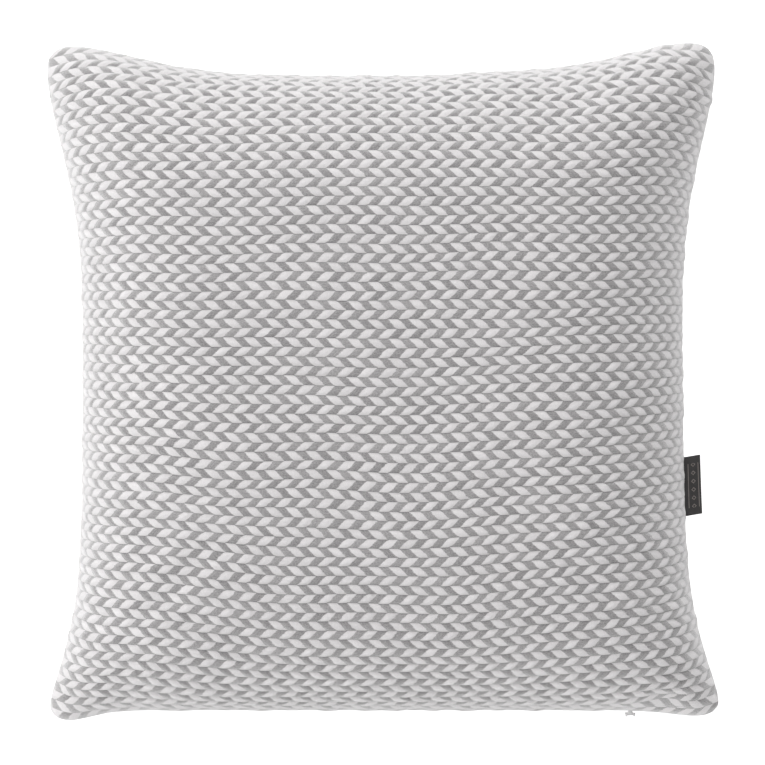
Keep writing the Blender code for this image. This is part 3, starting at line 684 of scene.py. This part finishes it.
def knit_finish():
    """Two plies, white and heathered grey, that swap places from row to row. A ply's edge wanders with its
    stray fibres, and the white ones narrow a little towards their tips. Each ply has its own tone and the
    grey is mottled. Painted shade darkens the valleys between rows, and a painted sheen of loose fibres makes
    the knit paler where it turns away from view."""
    nodes, shader, made = new_finish("white and grey knit", 0.85, Sheen_Weight=0.9, Sheen_Roughness=0.4,
                                     Specular_IOR_Level=0.3)
    weave = nodes.weave_place()
    parts = nodes.add("ShaderNodeSeparateXYZ", weave)
    along, row = parts.outputs[0], parts.outputs[1]
    swapped = nodes.math("MULTIPLY", nodes.math("FLOOR", row), 0.5)
    fibres = placed(nodes, SPUN_FIBRES, Vector=weave, Across=46.0, Along=5.0, Cloud=2.6)
    fuzz = nodes.noise(nodes.stretched(weave, (34.0, 15.0, 1.0)), 1.0, 3.0, 0.65)
    wander = nodes.noise(nodes.stretched(weave, (7.0, 4.0, 1.0)), 1.0, 2.0, 0.5)
    drift = nodes.noise(nodes.stretched(weave, (2.1, 1.3, 1.0)), 1.0, 2.0, 0.5)
    strayed = swapped
    for noise, share in ((fuzz, 0.24), (wander, 0.14), (drift, 0.12)):
        centred = nodes.math("SUBTRACT", noise, 0.5)
        strayed = nodes.math("ADD", strayed, nodes.math("MULTIPLY", centred, share))
    place = nodes.math("FRACT", nodes.math("ADD", nodes.math("ADD", along, strayed), 0.25))
    across_row = nodes.math("ABSOLUTE", nodes.math("SUBTRACT", nodes.math("FRACT", row), 0.5))
    tip = nodes.math("MULTIPLY", nodes.math("POWER", nodes.math("MULTIPLY", across_row, 2.0), 3.0), 0.035)
    off_white = nodes.math("ADD", nodes.math("ABSOLUTE", nodes.math("SUBTRACT", place, 0.5)), tip)
    is_grey = nodes.smooth(off_white, 0.235, 0.305)
    which = nodes.add("ShaderNodeCombineXYZ", nodes.math("FLOOR", nodes.math("MULTIPLY", along, 2.0)),
                      nodes.math("FLOOR", row))
    own = nodes.add("ShaderNodeTexWhiteNoise", which.outputs[0]).outputs["Value"]
    mottle = nodes.smooth(nodes.noise(nodes.stretched(weave, (13.0, 7.0, 1.0)), 1.0, 3.0, 0.7), 0.3, 0.7)
    streak = fibres.outputs["Streak"]
    white_tone = nodes.weighed((streak, 0.7), (own, 0.3))
    grey_tone = nodes.weighed((streak, 0.3), (mottle, 0.5), (own, 0.2))
    white_yarn = nodes.mix(white_tone, grey(0.72, 0.016), grey(0.93, 0.016))
    grey_yarn = nodes.mix(grey_tone, grey(0.17, 0.018), grey(0.58, 0.018))
    # Painted shade: the plies darken towards the valleys between rows, the grey ones most.
    ragged = nodes.math("ADD", across_row, nodes.math("MULTIPLY", nodes.math("SUBTRACT", fuzz, 0.5), 0.16))
    valley_shades = [nodes.smooth(ragged, 0.36, 0.52, 0.0, share) for share in (0.05, 0.34)]
    white_yarn = nodes.mix(valley_shades[0], white_yarn, grey(0.25, 0.016))
    grey_yarn = nodes.mix(valley_shades[1], grey_yarn, grey(0.14, 0.018))
    yarn = nodes.mix(is_grey, white_yarn, grey_yarn)
    # Painted sheen: where the surface turns away from view, its colour goes over to a pale grey.
    facing = nodes.add("ShaderNodeLayerWeight", 0.35).outputs["Facing"]
    painted_rim_sheen = nodes.smooth(facing, 0.09, 0.75, 0.0, 0.72)
    nodes.feed(shader.inputs["Base Color"], nodes.mix(painted_rim_sheen, yarn, grey(0.80, 0.012)))
    lift = nodes.math("ADD", fibres.outputs["Height"], nodes.math("MULTIPLY", fuzz, 0.8))
    bumped(nodes, shader, lift, 0.0006, 0.7)
    return made


def thread_finish():
    """Twisted polyester thread: slanting ridges round the thread, darker in the grooves between them by
    painted shade, with a dull shine.
    """
    nodes, shader, made = new_finish("grey sewing thread", 0.5, Sheen_Weight=0.2)
    place = nodes.object_place()
    parts = nodes.add("ShaderNodeSeparateXYZ", place)
    slanted = nodes.math("ADD", nodes.math("ADD", parts.outputs[0], parts.outputs[1]),
                         nodes.math("MULTIPLY", parts.outputs[2], 1.6))
    twist = nodes.wave(nodes.math("MULTIPLY", slanted, 1800.0), 0.7)
    # Painted shade: the colour follows the twist, darkest in its grooves.
    tone = nodes.math("MULTIPLY", twist, nodes.noise(place, 900.0))
    nodes.feed(shader.inputs["Base Color"], nodes.mix(tone, grey(0.34), grey(0.60)))
    bumped(nodes, shader, twist, 0.0001, 0.8)
    return made


def woven_finish(name, dark, light, warp, weft, roughness, own_map=False):
    """Plain woven cloth or ribbon, on the piece's own map in metres or on its place in plan."""
    nodes, shader, made = new_finish(name, roughness, Sheen_Weight=0.2)
    place = nodes.weave_place() if own_map else nodes.object_place()
    weave = placed(nodes, PLAIN_WEAVE, Vector=place, Warp=warp, Weft=weft)
    fibres = placed(nodes, SPUN_FIBRES, Vector=place, Across=warp, Along=weft / 4, Cloud=60.0)
    streak = nodes.smooth(fibres.outputs["Streak"], 0.0, 1.0, 0.85, 1.0)
    shade = nodes.math("MULTIPLY", weave.outputs["Shade"], streak)
    tone = nodes.mix(shade, grey(dark), grey(light))
    cloud = nodes.math("MULTIPLY", fibres.outputs["Cloud"], 0.25)
    nodes.feed(shader.inputs["Base Color"], nodes.mix(cloud, tone, grey(dark)))
    height = nodes.math("ADD", weave.outputs["Height"], fibres.outputs["Height"])
    bumped(nodes, shader, height, 0.00012, 0.7)
    return made


DIAMOND_PITCH = 0.0058
LABEL_HALF = 0.0207  # half of its height
LABEL_OUT = 0.0109  # from the seam to the fold
BORDER_FROM_MIDDLE = 0.0036
MOTIF_MARGIN = 0.0055  # bare ribbon at both cut ends


def label_finish():
    """Near-black satin ribbon: long floats of weft with rare ties, a woven border line along both cut ends
    and the fold, and a column of small diamonds in a paler thread down its middle."""
    nodes, shader, made = new_finish("black woven ribbon", 0.42, Sheen_Weight=0.3, Anisotropic=0.4)
    place = nodes.weave_place()
    parts = nodes.add("ShaderNodeSeparateXYZ", place)
    out, up = parts.outputs[0], parts.outputs[1]
    from_fold = nodes.math("ABSOLUTE", out)
    aside = nodes.math("SUBTRACT", from_fold, LABEL_OUT / 2)
    step = nodes.math("DIVIDE", up, DIAMOND_PITCH)
    along = nodes.math("ABSOLUTE", nodes.math("SUBTRACT", nodes.math("FRACT", step), 0.5))
    across = nodes.math("ABSOLUTE", nodes.math("DIVIDE", aside, DIAMOND_PITCH))
    reach = nodes.math("ADD", along, across)
    diamond, hollow = (nodes.smooth(reach, edge, edge + 0.04, 1.0, 0.0) for edge in (0.26, 0.15))
    ring = nodes.math("SUBTRACT", diamond, hollow)
    line = nodes.math("ABSOLUTE", nodes.math("SUBTRACT", nodes.math("ABSOLUTE", aside), BORDER_FROM_MIDDLE))
    border = nodes.smooth(line, 0.00016, 0.0003, 1.0, 0.0)
    motif_end = LABEL_HALF - MOTIF_MARGIN
    inside = nodes.smooth(nodes.math("ABSOLUTE", up), motif_end, motif_end + 0.0005, 1.0, 0.0)
    motif = nodes.math("MULTIPLY", nodes.math("MAXIMUM", ring, border), inside)
    weave = placed(nodes, PLAIN_WEAVE, Vector=place, Warp=3800.0, Weft=900.0)
    fray = nodes.smooth(nodes.noise(place, 1500.0), 0.3, 0.7, 0.75, 1.0)
    threads = nodes.math("MULTIPLY", weave.outputs["Shade"], fray)
    ground = nodes.mix(threads, (0.007, 0.0062, 0.0062, 1), (0.021, 0.0185, 0.018, 1))
    pale = nodes.mix(threads, (0.10, 0.084, 0.078, 1), (0.25, 0.215, 0.20, 1))
    nodes.feed(shader.inputs["Base Color"], nodes.mix(motif, ground, pale))
    height = nodes.math("ADD", weave.outputs["Height"], nodes.math("MULTIPLY", motif, 1.5))
    bumped(nodes, shader, height, 0.00008, 0.8)
    return made


def nylon_finish():
    """Drawn nylon: smooth, slightly clouded, with a soft shine."""
    nodes, shader, made = new_finish("grey nylon coil", 0.32, Coat_Weight=0.15)
    tone = nodes.noise(nodes.object_place(), 700.0, 3.0)
    nodes.feed(shader.inputs["Base Color"], nodes.mix(tone, grey(0.30), grey(0.46)))
    nodes.feed(shader.inputs["Roughness"], nodes.smooth(tone, 0.2, 0.8, 0.25, 0.45))
    return made


def metal_finish():
    """Zip metal under pale grey lacquer: faint casting grain under the coat, and rubbed patches where the
    lacquer is thin and the metal shows."""
    nodes, shader, made = new_finish("pale lacquered zip metal", 0.35, Coat_Weight=0.4, Coat_Roughness=0.15)
    place = nodes.object_place()
    wear = placed(nodes, RUBBED_METAL, Vector=place, Scale=260.0, Amount=0.45)
    nodes.feed(shader.inputs["Base Color"], nodes.mix(wear.outputs["Worn"], grey(0.66, 0.004), grey(0.55)))
    nodes.feed(shader.inputs["Metallic"], nodes.math("MULTIPLY", wear.outputs["Worn"], 0.8))
    nodes.feed(shader.inputs["Roughness"], wear.outputs["Roughness"])
    bumped(nodes, shader, wear.outputs["Height"], 0.00004, 0.5)
    return made


def fibre_finish():
    """Carded polyester fibre: tangled fine strands in soft clumps."""
    nodes, shader, made = new_finish("white fibre filling", 0.95, Sheen_Weight=0.6)
    place = nodes.object_place()
    tangle = placed(nodes, SPUN_FIBRES, Vector=place, Across=420.0, Along=90.0, Cloud=38.0)
    depth = nodes.weighed((tangle.outputs["Streak"], 0.5), (tangle.outputs["Cloud"], 0.5))
    nodes.feed(shader.inputs["Base Color"], nodes.mix(depth, grey(0.62), grey(0.88)))
    bumped(nodes, shader, tangle.outputs["Height"], 0.003, 0.8)
    return made


KNIT_FINISH = knit_finish()
THREAD_FINISH = thread_finish()
LABEL_FINISH = label_finish()
CARE_FINISH = woven_finish("white care ribbon", 0.60, 0.84, 2600.0, 1300.0, 0.45)
TAPE_FINISH = woven_finish("grey zip tape", 0.26, 0.48, 1500.0, 2200.0, 0.75)
COIL_FINISH = nylon_finish()
METAL_FINISH = metal_finish()
TICKING_FINISH = woven_finish("white ticking", 0.62, 0.84, 1100.0, 1000.0, 0.8, own_map=True)
FILL_FINISH = fibre_finish()


# --- pieces ------------------------------------------------------------------------------------
def finished(piece, finish, body, slot, *nodes):
    """Gives a piece its finish and its body, and hides the CAD nodes that it stands for. slot is not used."""
    piece.data.materials.clear()
    piece.data.materials.append(finish)
    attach(piece, body)
    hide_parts(*nodes)
    return piece


def cover():
    """Both knitted panels of the cover."""
    for half, side, seed in (("front", 1, 11), ("back", -1, 23)):
        panel = knitted_panel(f"cover_{half}_knit", side, seed)
        finished(panel, KNIT_FINISH, "cushion", "cover_knit", f"cover_{half}_panel")


PAD_INSET = 0.021
PAD_DEPTH = 0.0026  # behind the pattern's surface
PAD_CELLS = 96
PAD_RIPPLE = 0.0005
PAD_RIPPLE_LENGTH = 0.045
TICKING = 0.0006
PAD_ALLOWANCE = 0.008
FILL_INSET = 0.030
FILL_DEPTH = 0.0040
FILL_CELLS = 80
FILL_LUMPS = 0.0012
FILL_LUMP_LENGTH = 0.05


def pad_panel(half, side, seed):
    """One panel of the inner pad: the pillow's surface at the pad's inset, on a grid whose even steps t
    crowd towards the seams as sin(pi (0.9 t + 0.1 t^3) / 2), and its narrow allowance. The front has low
    ripples that only go inwards, and the back lies flat."""
    steps = np.arange(PAD_CELLS + 1)
    t = 2 * steps / steps[-1] - 1
    across, along = np.meshgrid(t, t)
    u, v = bent(across * 0.9 + 0.1 * across**3), bent(along * 0.9 + 0.1 * along**3)
    x, y = outline(u, v)
    skins = []
    for thickness in (0.0, TICKING):
        skin = layer(u, v, side, PAD_INSET + thickness, PAD_DEPTH + thickness, thickness)
        if side > 0:
            skin[..., 2] += (waves(x, y, PAD_RIPPLE, PAD_RIPPLE_LENGTH, seed) - 2 * PAD_RIPPLE) * rise(u, v)
        skins.append(skin)
    folds = (PAD_INSET + PAD_ALLOWANCE / 2, PAD_INSET + PAD_ALLOWANCE)
    rings = [(fold, None, 0.0) for fold in folds] + [(fold, None, TICKING) for fold in reversed(folds)]
    panel = panel_shell(f"pad_{half}_ticking", side, (u, v), skins, rings, (1, 1), np.stack([x, y], -1))
    finished(panel, TICKING_FINISH, "cushion", "ticking", f"insert_{half}_panel")


def filling():
    """The fibre filling: both faces of the pillow's surface at the filling's inset, joined along their rim,
    with soft lumps that only go inwards."""
    t = np.linspace(-1, 1, FILL_CELLS + 1)
    across, along = np.meshgrid(t, t)
    u, v = bent(across), bent(along)
    index = np.arange(u.size).reshape(u.shape)
    edge = np.ones(u.shape, bool)
    edge[1:-1, 1:-1] = False
    behind = index.copy()
    behind[~edge] = u.size + np.arange((~edge).sum())
    x, y = outline(u, v)
    sides = []
    for side, seed in ((1, 5), (-1, 6)):
        lumps = (waves(x, y, FILL_LUMPS, FILL_LUMP_LENGTH, seed) - 2.4 * FILL_LUMPS) * rise(u, v)
        skin = layer(u, v, side, FILL_INSET, FILL_DEPTH)
        skin[..., 2] += side * lumps
        sides.append(skin)
    points = np.concatenate([sides[0].reshape(-1, 3), sides[1][~edge]])
    body = built("fibre_filling", points, [grid_faces(index), grid_faces(behind)[:, ::-1]])
    finished(body, FILL_FINISH, "cushion", "fibre", "fibre_fill")


LABEL_CLOTH = 0.00035
LABEL_TAIL = 0.0110
LABEL_DROP = 0.0019  # it is sewn in a little below its mark
LABEL_TILT = math.radians(9.5)  # the ribbon points a little upwards out of the seam
LABEL_WIDEN = 0.03  # it reaches a little further out towards its lower end


def side_label():
    """The folded ribbon. Its section runs from the upper tail round the fold, a half circle, to the lower
    tail; stations along its height are carried on the seam's own line, tilted by LABEL_TILT, and the free
    part curls by a slow sine."""
    gap = (TOUCH + LABEL_CLOTH) / 2
    run = np.concatenate([np.linspace(-LABEL_TAIL, LABEL_OUT - gap, 40), np.full(7, LABEL_OUT - gap)])
    turn = np.concatenate([np.full(40, math.pi / 2), np.linspace(math.pi / 2, 0, 8)[1:]])
    out = np.concatenate([run + gap * np.cos(turn), (run + gap * np.cos(turn))[-2::-1]])
    side = np.concatenate([np.sin(turn), -np.sin(turn)[-2::-1]])
    height = np.linspace(-LABEL_HALF, LABEL_HALF, 60)
    middle_y = LABEL_Y - LABEL_DROP
    v = np.linspace(-1, 0, 400)
    edge_x, edge_y = outline(np.ones_like(v), v)
    seam_x = np.interp(middle_y + height, edge_y, edge_x)
    out_grid, height_grid = np.meshgrid(out, height)
    reach = out_grid * np.where(out_grid > 0, 1 - LABEL_WIDEN * height_grid / LABEL_HALF, 1)
    free = (out_grid / LABEL_OUT).clip(0, 1)
    curl = 0.0007 * free**2 * np.sin(height_grid / LABEL_HALF * 1.9 + 0.4) - 0.0009 * free**2
    points = np.stack([seam_x[:, None] + reach * math.cos(LABEL_TILT),
                       middle_y + height_grid + reach * math.sin(LABEL_TILT) * (free > 0),
                       SEAM_Z + gap * side[None, :] + curl], -1)
    index = np.arange(out_grid.size).reshape(out_grid.shape)
    length = np.concatenate([[0], np.cumsum(np.hypot(np.diff(out), np.diff(gap * side)))])
    weave = np.stack([(length - length[-1] / 2)[None, :] + 0 * height_grid, height_grid], -1)
    label = built("side_label_ribbon", points.reshape(-1, 3), [grid_faces(index)], weave.reshape(-1, 2))
    wall = label.modifiers.new("Ribbon", "SOLIDIFY")
    wall.thickness = LABEL_CLOTH
    wall.offset = 0
    finished(label, LABEL_FINISH, "cushion", "label_satin", "side_label")


def tube(path, outward, radius, sides):
    """Points and faces of a closed round tube: at each point of the path a circle of the given radius in the
    plane of the outward direction and of its cross product with the path's own direction."""
    forward = unit(np.gradient(path, axis=0))
    across = unit(np.cross(forward, outward))
    outward = np.cross(across, forward)
    angle = 2 * math.pi * np.arange(sides) / sides
    round_out = np.cos(angle)[:, None] * outward[:, None]
    round_across = np.sin(angle)[:, None] * across[:, None]
    points = path[:, None] + radius * (round_out + round_across)
    index = np.arange(len(path) * sides).reshape(len(path), sides)
    faces = grid_faces(np.concatenate([index, index[:, :1]], axis=1))
    return points.reshape(-1, 3), [faces[:, ::-1], index[:1], index[-1:, ::-1]]


COIL_PITCH = 0.00125
COIL_WIRE = 0.00026
COIL_TURN_POINTS = 10


def zip_coil(half):
    """One row of teeth: a nylon wire wound as a flat helix, x forward evenly, y and z round an ellipse."""
    low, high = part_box(f"zip_coil_{half}")
    turns = int((high.x - low.x - 2 * COIL_WIRE) / COIL_PITCH)
    angle = 2 * math.pi * np.arange(turns * COIL_TURN_POINTS + 1) / COIL_TURN_POINTS
    centre_y, centre_z = (low.y + high.y) / 2, (low.z + high.z) / 2
    half_y, half_z = (high.y - low.y) / 2 - COIL_WIRE, (high.z - low.z) / 2 - COIL_WIRE
    x = (low.x + high.x) / 2 + (angle / angle[-1] - 0.5) * turns * COIL_PITCH
    path = np.stack([x, centre_y + half_y * np.cos(angle), centre_z + half_z * np.sin(angle)], -1)
    outward = np.stack([0 * x, np.cos(angle) * half_z, np.sin(angle) * half_y], -1)
    points, faces = tube(path, outward, COIL_WIRE, 5)
    teeth = built(f"zip_teeth_{half}", points, faces)
    finished(teeth, COIL_FINISH, "cushion", "zip_coil", f"zip_coil_{half}")


def joined(name, parts):
    """One mesh from several (points, faces) lists, each a closed body."""
    count = 0
    points, faces = [], []
    for part_points, part_faces in parts:
        points.append(part_points)
        faces += [patch + count for patch in part_faces]
        count += len(part_points)
    return built(name, np.concatenate(points), faces)


def turned(profile, centre, sides=28):
    """A closed ring turned round the X axis: profile is an array of (x, radius), anticlockwise."""
    angle = 2 * math.pi * np.arange(sides) / sides
    x = profile[:, 0][:, None] + 0 * angle
    points = np.stack([centre[0] + x, centre[1] + profile[:, 1][:, None] * np.cos(angle),
                       centre[2] + profile[:, 1][:, None] * np.sin(angle)], -1)
    index = np.arange(x.size).reshape(x.shape)
    index = np.concatenate([index, index[:1]])
    return points.reshape(-1, 3), [grid_faces(np.concatenate([index, index[:, :1]], axis=1))]


def rounded_box_profile(x_low, x_high, low, high, corner):
    """Rectangle with round corners as points (x, height), anticlockwise: four quarter circles."""
    quarter = np.linspace(0, math.pi / 2, 5)
    places = ((x_high - corner, high - corner, 0), (x_low + corner, high - corner, 1),
              (x_low + corner, low + corner, 2), (x_high - corner, low + corner, 3))
    return np.concatenate([np.stack([x + corner * np.cos(quarter + turn * math.pi / 2),
                                     y + corner * np.sin(quarter + turn * math.pi / 2)], -1)
                           for x, y, turn in places])


def extruded(outline_points, stations, place):
    """A closed body: an outline of two coordinates carried along the stations, each (position, share), with
    the outline shrunk towards its middle by the share; place turns the three coordinates into points."""
    middle = outline_points.mean(0)
    rings = []
    for position, share in stations:
        shrunk = middle + (outline_points - middle) * share
        rings.append(np.column_stack([shrunk, np.full(len(shrunk), position)]))
    points = place(np.concatenate(rings))
    index = np.arange(len(points)).reshape(len(stations), -1)
    faces = grid_faces(np.concatenate([index, index[:, :1]], axis=1))
    return points, [faces, index[:1, ::-1], index[-1:]]


def eased_ends(half, full_to, end_share):
    """Four stations of a body that is full up to a share of its half length and smaller at both ends."""
    return ((-half, end_share), (-full_to * half, 1.0), (full_to * half, 1.0), (half, end_share))


PIN_RADIUS = 0.00055
NECK_WIDTH = 0.0030
NECK_HALF = 0.00045
PLATE = 0.0006
SLIDER_BACK = 0.0046  # from the plates' open edge to the outer wall's face
SLIDER_WALL = 0.0012
SLIDER_SOFT = 0.00018  # how much its edges are eased
EYE_BORE = 0.00085
EYE_RADIUS = 0.00145
TAB_ARM = 0.0013
TAB_THICKNESS = 0.0010
TAB_WINDOW = 0.0050
TAB_HOLE = 0.0012
TAB_SOFT = 0.00022
PIVOT_Y = TAB_HIGH.y - EYE_RADIUS


def slider():
    """The slider: two plates and the outer wall between them as one C-shaped section along X, whose plates'
    inner edge is rounded off towards both ends, with a neck out to the pin."""
    half = (SLIDER_HIGH.x - SLIDER_LOW.x) / 2
    top, back = SLIDER_HIGH.z - SEAM_Z, SLIDER_HIGH.y
    outer = back - SLIDER_BACK
    inner = outer + SLIDER_WALL
    low = top - PLATE
    soft = SLIDER_SOFT
    section = np.array([(back, low), (inner, low), (inner, -low), (back, -low), (back, -low - soft),
                        (back - soft, -top), (outer + soft, -top), (outer, -top + soft), (outer, top - soft),
                        (outer + soft, top), (back - soft, top), (back, top - soft)])
    share = np.sin(np.linspace(-1, 1, 19) * math.pi / 2)
    rounding = 0.0011 * share**4
    rings = []
    depth, height = section.T
    for s, drop in zip(share, rounding):
        y = np.where(depth > inner, depth - drop, depth + 0.5 * drop * (depth < inner))
        z = SEAM_Z + height * (1 - 0.04 * s**4)
        rings.append(np.stack([np.full(len(y), SLIDER_X + s * half), y, z], -1))
    points = np.concatenate(rings)
    index = np.arange(len(points)).reshape(len(rings), -1)
    shell = (points, [grid_faces(np.concatenate([index, index[:, :1]], axis=1)), index[:1, ::-1], index[-1:]])
    neck_end = outer + SLIDER_WALL / 2
    neck_outline = rounded_box_profile(-NECK_WIDTH / 2, NECK_WIDTH / 2, PIVOT_Y, neck_end, 0.0004)
    neck = extruded(neck_outline, eased_ends(NECK_HALF, 0.8, 0.9),
                    lambda p: np.stack([SLIDER_X + p[:, 0], p[:, 1], SEAM_Z + p[:, 2]], -1))
    circle = np.linspace(0, 2 * math.pi, 20, endpoint=False)
    pin_outline = PIN_RADIUS * np.stack([np.cos(circle), np.sin(circle)], -1)
    pin = extruded(pin_outline, eased_ends((TAB_HIGH.x - TAB_LOW.x) / 2, 0.97, 0.7),
                   lambda p: np.stack([SLIDER_X + p[:, 2], PIVOT_Y + p[:, 0], SEAM_Z + p[:, 1]], -1))
    body = joined("zip_slider_casting", [shell, neck, pin])
    body.data.set_sharp_from_angle(angle=math.radians(35))
    finished(body, METAL_FINISH, "zip_slider", "zip_metal", "zip_slider_body")


def pull_tab():
    """The tab hangs from the pin: a flat bow with two arms, a rounded end and a punched hole, with its edges
    rolled, and an eye at the end of each arm turned round the pin's axis."""
    half = (TAB_HIGH.x - TAB_LOW.x) / 2
    bottom = TAB_LOW.z - SEAM_Z
    corner = half * 0.72
    quarter = np.linspace(0, math.pi / 2, 13)
    end = [(half - corner + corner * math.cos(a), bottom + corner - corner * math.sin(a)) for a in quarter]
    arm = half - TAB_ARM
    bow = [(arm * math.cos(a), -TAB_WINDOW + 0.0011 - 0.0011 * math.sin(a))
           for a in np.linspace(math.pi, 0, 13)]
    right = [(half, 0.0)] + end
    left = [(-x, z) for x, z in reversed(end)] + [(-half, 0.0), (-arm, 0.0)]
    waisted = [(x * (1 - 0.10 * min(1.0, max(0.0, (-z - 0.004) / 0.006))), z) for x, z in right + left]
    shape = waisted + bow + [(arm, 0.0)]
    hole = [(TAB_HOLE * math.cos(a), bottom + 3.0 * TAB_HOLE + TAB_HOLE * math.sin(a))
            for a in np.linspace(0, 2 * math.pi, 24, endpoint=False)]
    curve = bpy.data.curves.new("tab_outline", "CURVE")
    curve.dimensions = "2D"
    curve.fill_mode = "BOTH"
    curve.extrude = TAB_THICKNESS / 2 - TAB_SOFT
    curve.bevel_depth = TAB_SOFT
    curve.bevel_resolution = 2
    curve.offset = -TAB_SOFT
    for ring in (shape, hole):
        spline = curve.splines.new("POLY")
        spline.points.add(len(ring) - 1)
        spline.points.foreach_set("co", np.array([(x, z, 0, 1) for x, z in ring]).ravel())
        spline.use_cyclic_u = True
    drawn = bpy.data.objects.new("tab_outline", curve)
    bpy.context.scene.collection.objects.link(drawn)
    plate_mesh = bpy.data.meshes.new_from_object(drawn.evaluated_get(bpy.context.evaluated_depsgraph_get()))
    bpy.data.objects.remove(drawn)
    bpy.data.curves.remove(curve)
    found = np.empty(len(plate_mesh.vertices) * 3)
    plate_mesh.vertices.foreach_get("co", found)
    flat = found.reshape(-1, 3)
    plate_points = np.stack([SLIDER_X + flat[:, 0], PIVOT_Y - flat[:, 2], SEAM_Z + flat[:, 1]], -1)
    plate_faces = [np.array([list(face.vertices)]) for face in plate_mesh.polygons]
    bpy.data.meshes.remove(plate_mesh)
    eyes = []
    for sign in (-1, 1):
        low, high = sorted((sign * arm, sign * half))
        ring = rounded_box_profile(low, high, EYE_BORE, EYE_RADIUS, 0.00016)
        eyes.append(turned(ring, (SLIDER_X, PIVOT_Y, SEAM_Z)))
    tab = joined("zip_pull", [(plate_points, plate_faces), *eyes])
    tab.data.set_sharp_from_angle(angle=math.radians(40))
    finished(tab, METAL_FINISH, "pull_tab", "zip_metal", "zip_pull_tab")


def refinished():
    """The CAD nodes whose shape is right get their finish."""
    for finish, nodes in (
            (THREAD_FINISH, ("cover_seam_needle_thread", "cover_seam_bobbin_thread", "cover_overlock_thread",
                             "zip_stitching_front", "zip_stitching_back",
                             "zip_bartack_left", "zip_bartack_right",
                             "insert_seam_thread", "insert_closing_stitch")),
            (CARE_FINISH, ("care_label",)),
            (TAPE_FINISH, ("zip_tape_front", "zip_tape_back")),
            (METAL_FINISH, ("zip_top_stop_front", "zip_top_stop_back", "zip_bottom_stop"))):
        for node in nodes:
            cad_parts[node].data.materials.clear()
            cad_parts[node].data.materials.append(finish)


cover()
for half, side, seed in (("front", 1, 31), ("back", -1, 32)):
    pad_panel(half, side, seed)
filling()
side_label()
for half in ("front", "back"):
    zip_coil(half)
slider()
pull_tab()
refinished()


# --- floor, lights and camera ------------------------------------------------------------------
VIEW_WIDTH = 0.5355  # width of the view at the seam plane
VIEW_DISTANCE = 3.0
VIEW_CENTRE = (0.0007, -0.00105)
FLOOR_SIZE = 12.0
LIGHTS = {  # place, width and power of each square lamp; all aim at the origin
    "left light": ((-2.2, 0.8, 1.7), 1.6, 44.0),
    "overhead light": ((-0.8, 0.3, 3.3), 2.4, 31.0),
    "low light beyond the top": ((0.4, 2.2, 0.5), 1.0, 11.0),
    "low light before the bottom": ((0.2, -2.2, 0.4), 0.9, 8.0),
    "low light at the right": ((2.2, -0.2, 0.22), 0.4, 5.0),
}


def studio():
    """A pale floor, an even white surrounding and soft lamps."""
    bpy.ops.mesh.primitive_plane_add(size=FLOOR_SIZE)
    floor = bpy.context.object
    floor.name = "studio_floor"
    nodes, shader, made = new_finish("pale floor", 0.9, Emission_Strength=0.75, Specular_IOR_Level=0.0)
    tone = nodes.noise(nodes.object_place(), 3.0)
    nodes.feed(shader.inputs["Base Color"], nodes.mix(tone, (0.84, 0.84, 0.84, 1), (0.86, 0.86, 0.86, 1)))
    shader.inputs["Emission Color"].default_value = (1, 1, 1, 1)
    floor.data.materials.append(made)
    world = bpy.data.worlds.new("soft studio")
    bpy.context.scene.world = world
    world.use_nodes = True
    world.node_tree.nodes["Background"].inputs["Color"].default_value = (1, 1, 1, 1)
    world.node_tree.nodes["Background"].inputs["Strength"].default_value = 0.45
    for name, (place, size, power) in LIGHTS.items():
        data = bpy.data.lights.new(name, "AREA")
        data.size = size
        data.energy = power
        lamp = bpy.data.objects.new(name, data)
        bpy.context.scene.collection.objects.link(lamp)
        lamp.location = place
        aim = -lamp.location.normalized()
        lamp.rotation_euler = aim.to_track_quat("-Z", "Y").to_euler()


def camera():
    """Looks straight down on the pillow's front; the lens frames VIEW_WIDTH at VIEW_DISTANCE."""
    data = bpy.data.cameras.new("camera")
    data.sensor_width = 36.0
    data.lens = data.sensor_width * VIEW_DISTANCE / VIEW_WIDTH
    eye = bpy.data.objects.new("camera", data)
    eye.location = (*VIEW_CENTRE, SEAM_Z + VIEW_DISTANCE)
    bpy.context.scene.collection.objects.link(eye)
    bpy.context.scene.camera = eye


studio()
camera()
bpy.context.scene.view_settings.view_transform = "Standard"
